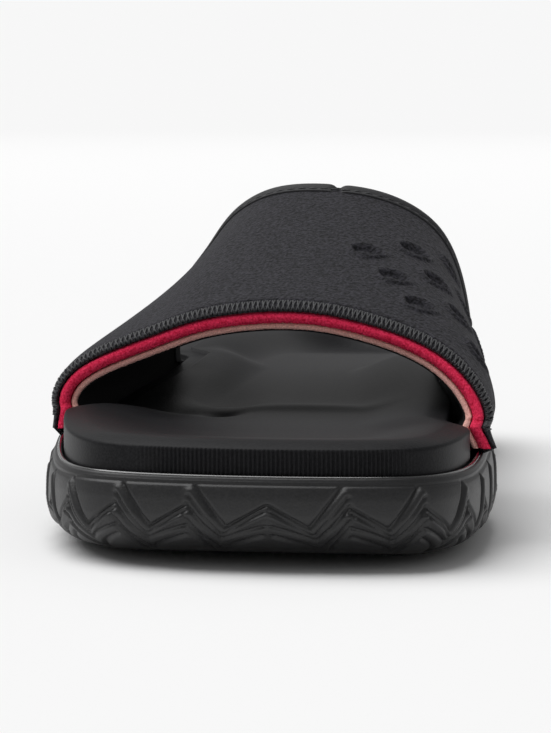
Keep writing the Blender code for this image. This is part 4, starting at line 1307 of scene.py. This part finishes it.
def build_tape(field, paint):
    """Rolled tape round the strap's rear edge, with a notch at its join."""
    index = np.arange(len(TAPE.before))
    fine = np.linspace(0, index[-1], 64)
    runs = field.length - smooth_curve(index, TAPE.before, fine)[:, None] * MM
    depths = smooth_curve(index, TAPE.depth, fine)[:, None] * MM + np.zeros(field.count)
    lengths = walked(field.points[:, -1])
    join = np.interp(TAPE_JOIN_TURN, field.turns, lengths[field.seats:-field.seats])
    notch = np.exp(-(np.abs(lengths - join) / TAPE_JOIN_WIDTH) ** 1.5)
    depths = depths + TAPE_JOIN_DEPTH * notch * smooth_step((2.4 * MM - depths) / (2.0 * MM))
    foot = np.minimum(np.arange(field.count), np.arange(field.count)[::-1])
    sunk = 1 - smooth_step((foot - field.seats * 0.45) / (field.seats * 0.5))
    middle = STRAP_THICKNESS / 2
    depths = middle + (depths - middle) * (1 - TAPE_FOOT_SQUEEZE * sunk)
    skin = Skin()
    skin.cover(skin.add(field.place(runs, depths)))
    skin.build("strap_tape", paint, "strap_cloth")


def build_edge_stitches(field, paint):
    """Threads whipped over the strap's front edge."""
    lengths = walked(field.points[:, 0])
    seat = field.seats - 6
    path = STITCH_PATH.copy()
    path[:, 1] += edge_taper(path[:, 0]) * 0.85
    random = np.random.default_rng(3)
    skin = Skin()
    for i in range(int((lengths[-seat] - lengths[seat]) / STITCH_PITCH)):
        for lean in (STITCH_LEAN, -STITCH_LEAN):
            sway = random.uniform(-0.15, 0.15, 2) * MM
            across = lengths[seat] + sway[0] + (i + np.linspace(-lean, lean, len(path))) * STITCH_PITCH
            where = np.interp(across, lengths, np.arange(field.count))
            spots = [field.between(at, run, depth + sway[1] * 0.3) for at, (run, depth) in zip(where, path)]
            skin.tube(spots, STITCH_RADIUS)
    skin.build("strap_edge_thread", paint, "strap_cloth")


def build_tape_stitches(field, paint):
    """Running stitches along the rear tape."""
    lengths = walked(field.points[:, -1])
    columns = np.arange(field.count)
    seat = field.seats - 6
    share = np.linspace(0, 1, 7)
    depths = TAPE_STITCH_DEPTH - TAPE_STITCH_RISE * np.sin(share * math.pi)
    skin = Skin()
    for i in range(int((lengths[-seat] - lengths[seat]) / TAPE_STITCH_PITCH)):
        across = lengths[seat] + i * TAPE_STITCH_PITCH + share * TAPE_STITCH_LENGTH
        where = np.interp(across, lengths, columns)
        runs = np.interp(where, columns, field.length) - TAPE_STITCH_BEFORE
        skin.tube([field.between(*spot) for spot in zip(where, runs, depths)], TAPE_STITCH_RADIUS)
    skin.build("strap_tape_thread", paint, "strap_cloth")


def build_stage():
    """Pale floor, soft light from all round, and the camera at the photographed angle."""
    scene = bpy.context.scene
    world = bpy.data.worlds.new("studio")
    world.use_nodes = True
    sky = world.node_tree.nodes["Background"].inputs
    sky["Color"].default_value = (1, 1, 1, 1)
    sky["Strength"].default_value = WORLD_STRENGTH
    scene.world = world
    scene.view_settings.view_transform = "Standard"

    mesh = bpy.data.meshes.new("floor")
    corners = [(x * FLOOR_HALF, y * FLOOR_HALF, 0) for x, y in ((-1, -1), (1, -1), (1, 1), (-1, 1))]
    mesh.from_pydata(corners, [], [(0, 1, 2, 3)])
    paint = Paint("floor_white", 0.9, Specular_IOR_Level=0.0, Base_Color=(*[FLOOR_WHITE] * 3, 1))
    mesh.materials.append(paint.material)
    add_object("floor", mesh)

    light = bpy.data.lights.new("overhead", "SUN")
    light.energy = OVERHEAD_ENERGY
    light.angle = OVERHEAD_SPREAD
    lamp = add_object("overhead", light)
    lamp.rotation_euler = Vector(OVERHEAD_DIRECTION).to_track_quat("Z", "Y").to_euler()

    panel = bpy.data.lights.new("back_panel", "AREA")
    panel.shape = "RECTANGLE"
    panel.size, panel.size_y = PANEL_SIZE
    panel.energy = PANEL_ENERGY
    lamp = add_object("back_panel", panel)
    lamp.location = PANEL_PLACE
    lamp.rotation_euler = Vector(PANEL_DIRECTION).to_track_quat("Z", "Y").to_euler()

    camera = bpy.data.cameras.new("camera")
    camera.sensor_width = 36
    camera.lens = CAMERA_LENS
    camera.clip_start = 0.05
    viewer = add_object("camera", camera)
    viewer.location = CAMERA_PLACE
    sight = Vector(CAMERA_TARGET) - Vector(CAMERA_PLACE)
    viewer.rotation_euler = sight.to_track_quat("-Z", "Y").to_euler()
    scene.camera = viewer


RUBBER = rubber()
THREAD = grained(
    Paint("strap_thread", 0.5, Specular_IOR_Level=0.4, Sheen_Weight=0.1),
    0.35 * MM, 2, 0.35, (0.0070, 0.0072, 0.0090), (0.036, 0.037, 0.042), 0.10 * MM, 0.6,
)
TAPE_CLOTH = grained(
    Paint("strap_tape", 0.6, Specular_IOR_Level=0.3, Sheen_Weight=0.06),
    0.4 * MM, 2, 0.35, (0.008, 0.008, 0.0095), (0.022, 0.022, 0.0245), 0.10 * MM, 0.5,
)
FELT = grained(
    Paint(
        "strap_felt", 0.9, Specular_IOR_Level=0.12, Sheen_Weight=0.15, Sheen_Roughness=0.4,
        Sheen_Tint=(1.0, 0.25, 0.35, 1),
    ),
    0.5 * MM, 3, 0.32, (0.56, 0.006, 0.040), (1.0, 0.055, 0.150), 0.30 * MM, 0.8,
)
LINING = grained(
    Paint("strap_lining", 0.9, Specular_IOR_Level=0.12, Sheen_Weight=0.1),
    0.4 * MM, 3, 0.32, (0.62, 0.315, 0.275), (1.0, 0.57, 0.50), 0.22 * MM, 0.8,
)
# Near-black colour of the innermost sheet: painted shade for the deep shade inside the strap.
PAINTED_SHADE_CLOTH = grained(
    Paint("strap_painted_shade_cloth", 0.9, Specular_IOR_Level=0.1),
    0.4 * MM, 2, 0.35, (0.005, 0.005, 0.0055), (0.014, 0.0135, 0.0145), 0.10 * MM, 0.5,
)

build_outsole(RUBBER)
build_lip_bead(gloss_rubber())
build_tread(RUBBER)
build_footbed(foam())
build_upper(cloth())
FIELD = build_inner_layers(FELT, LINING, PAINTED_SHADE_CLOTH)
build_tape(FIELD, TAPE_CLOTH)
build_edge_stitches(FIELD, THREAD)
build_tape_stitches(FIELD, THREAD)
build_stage()
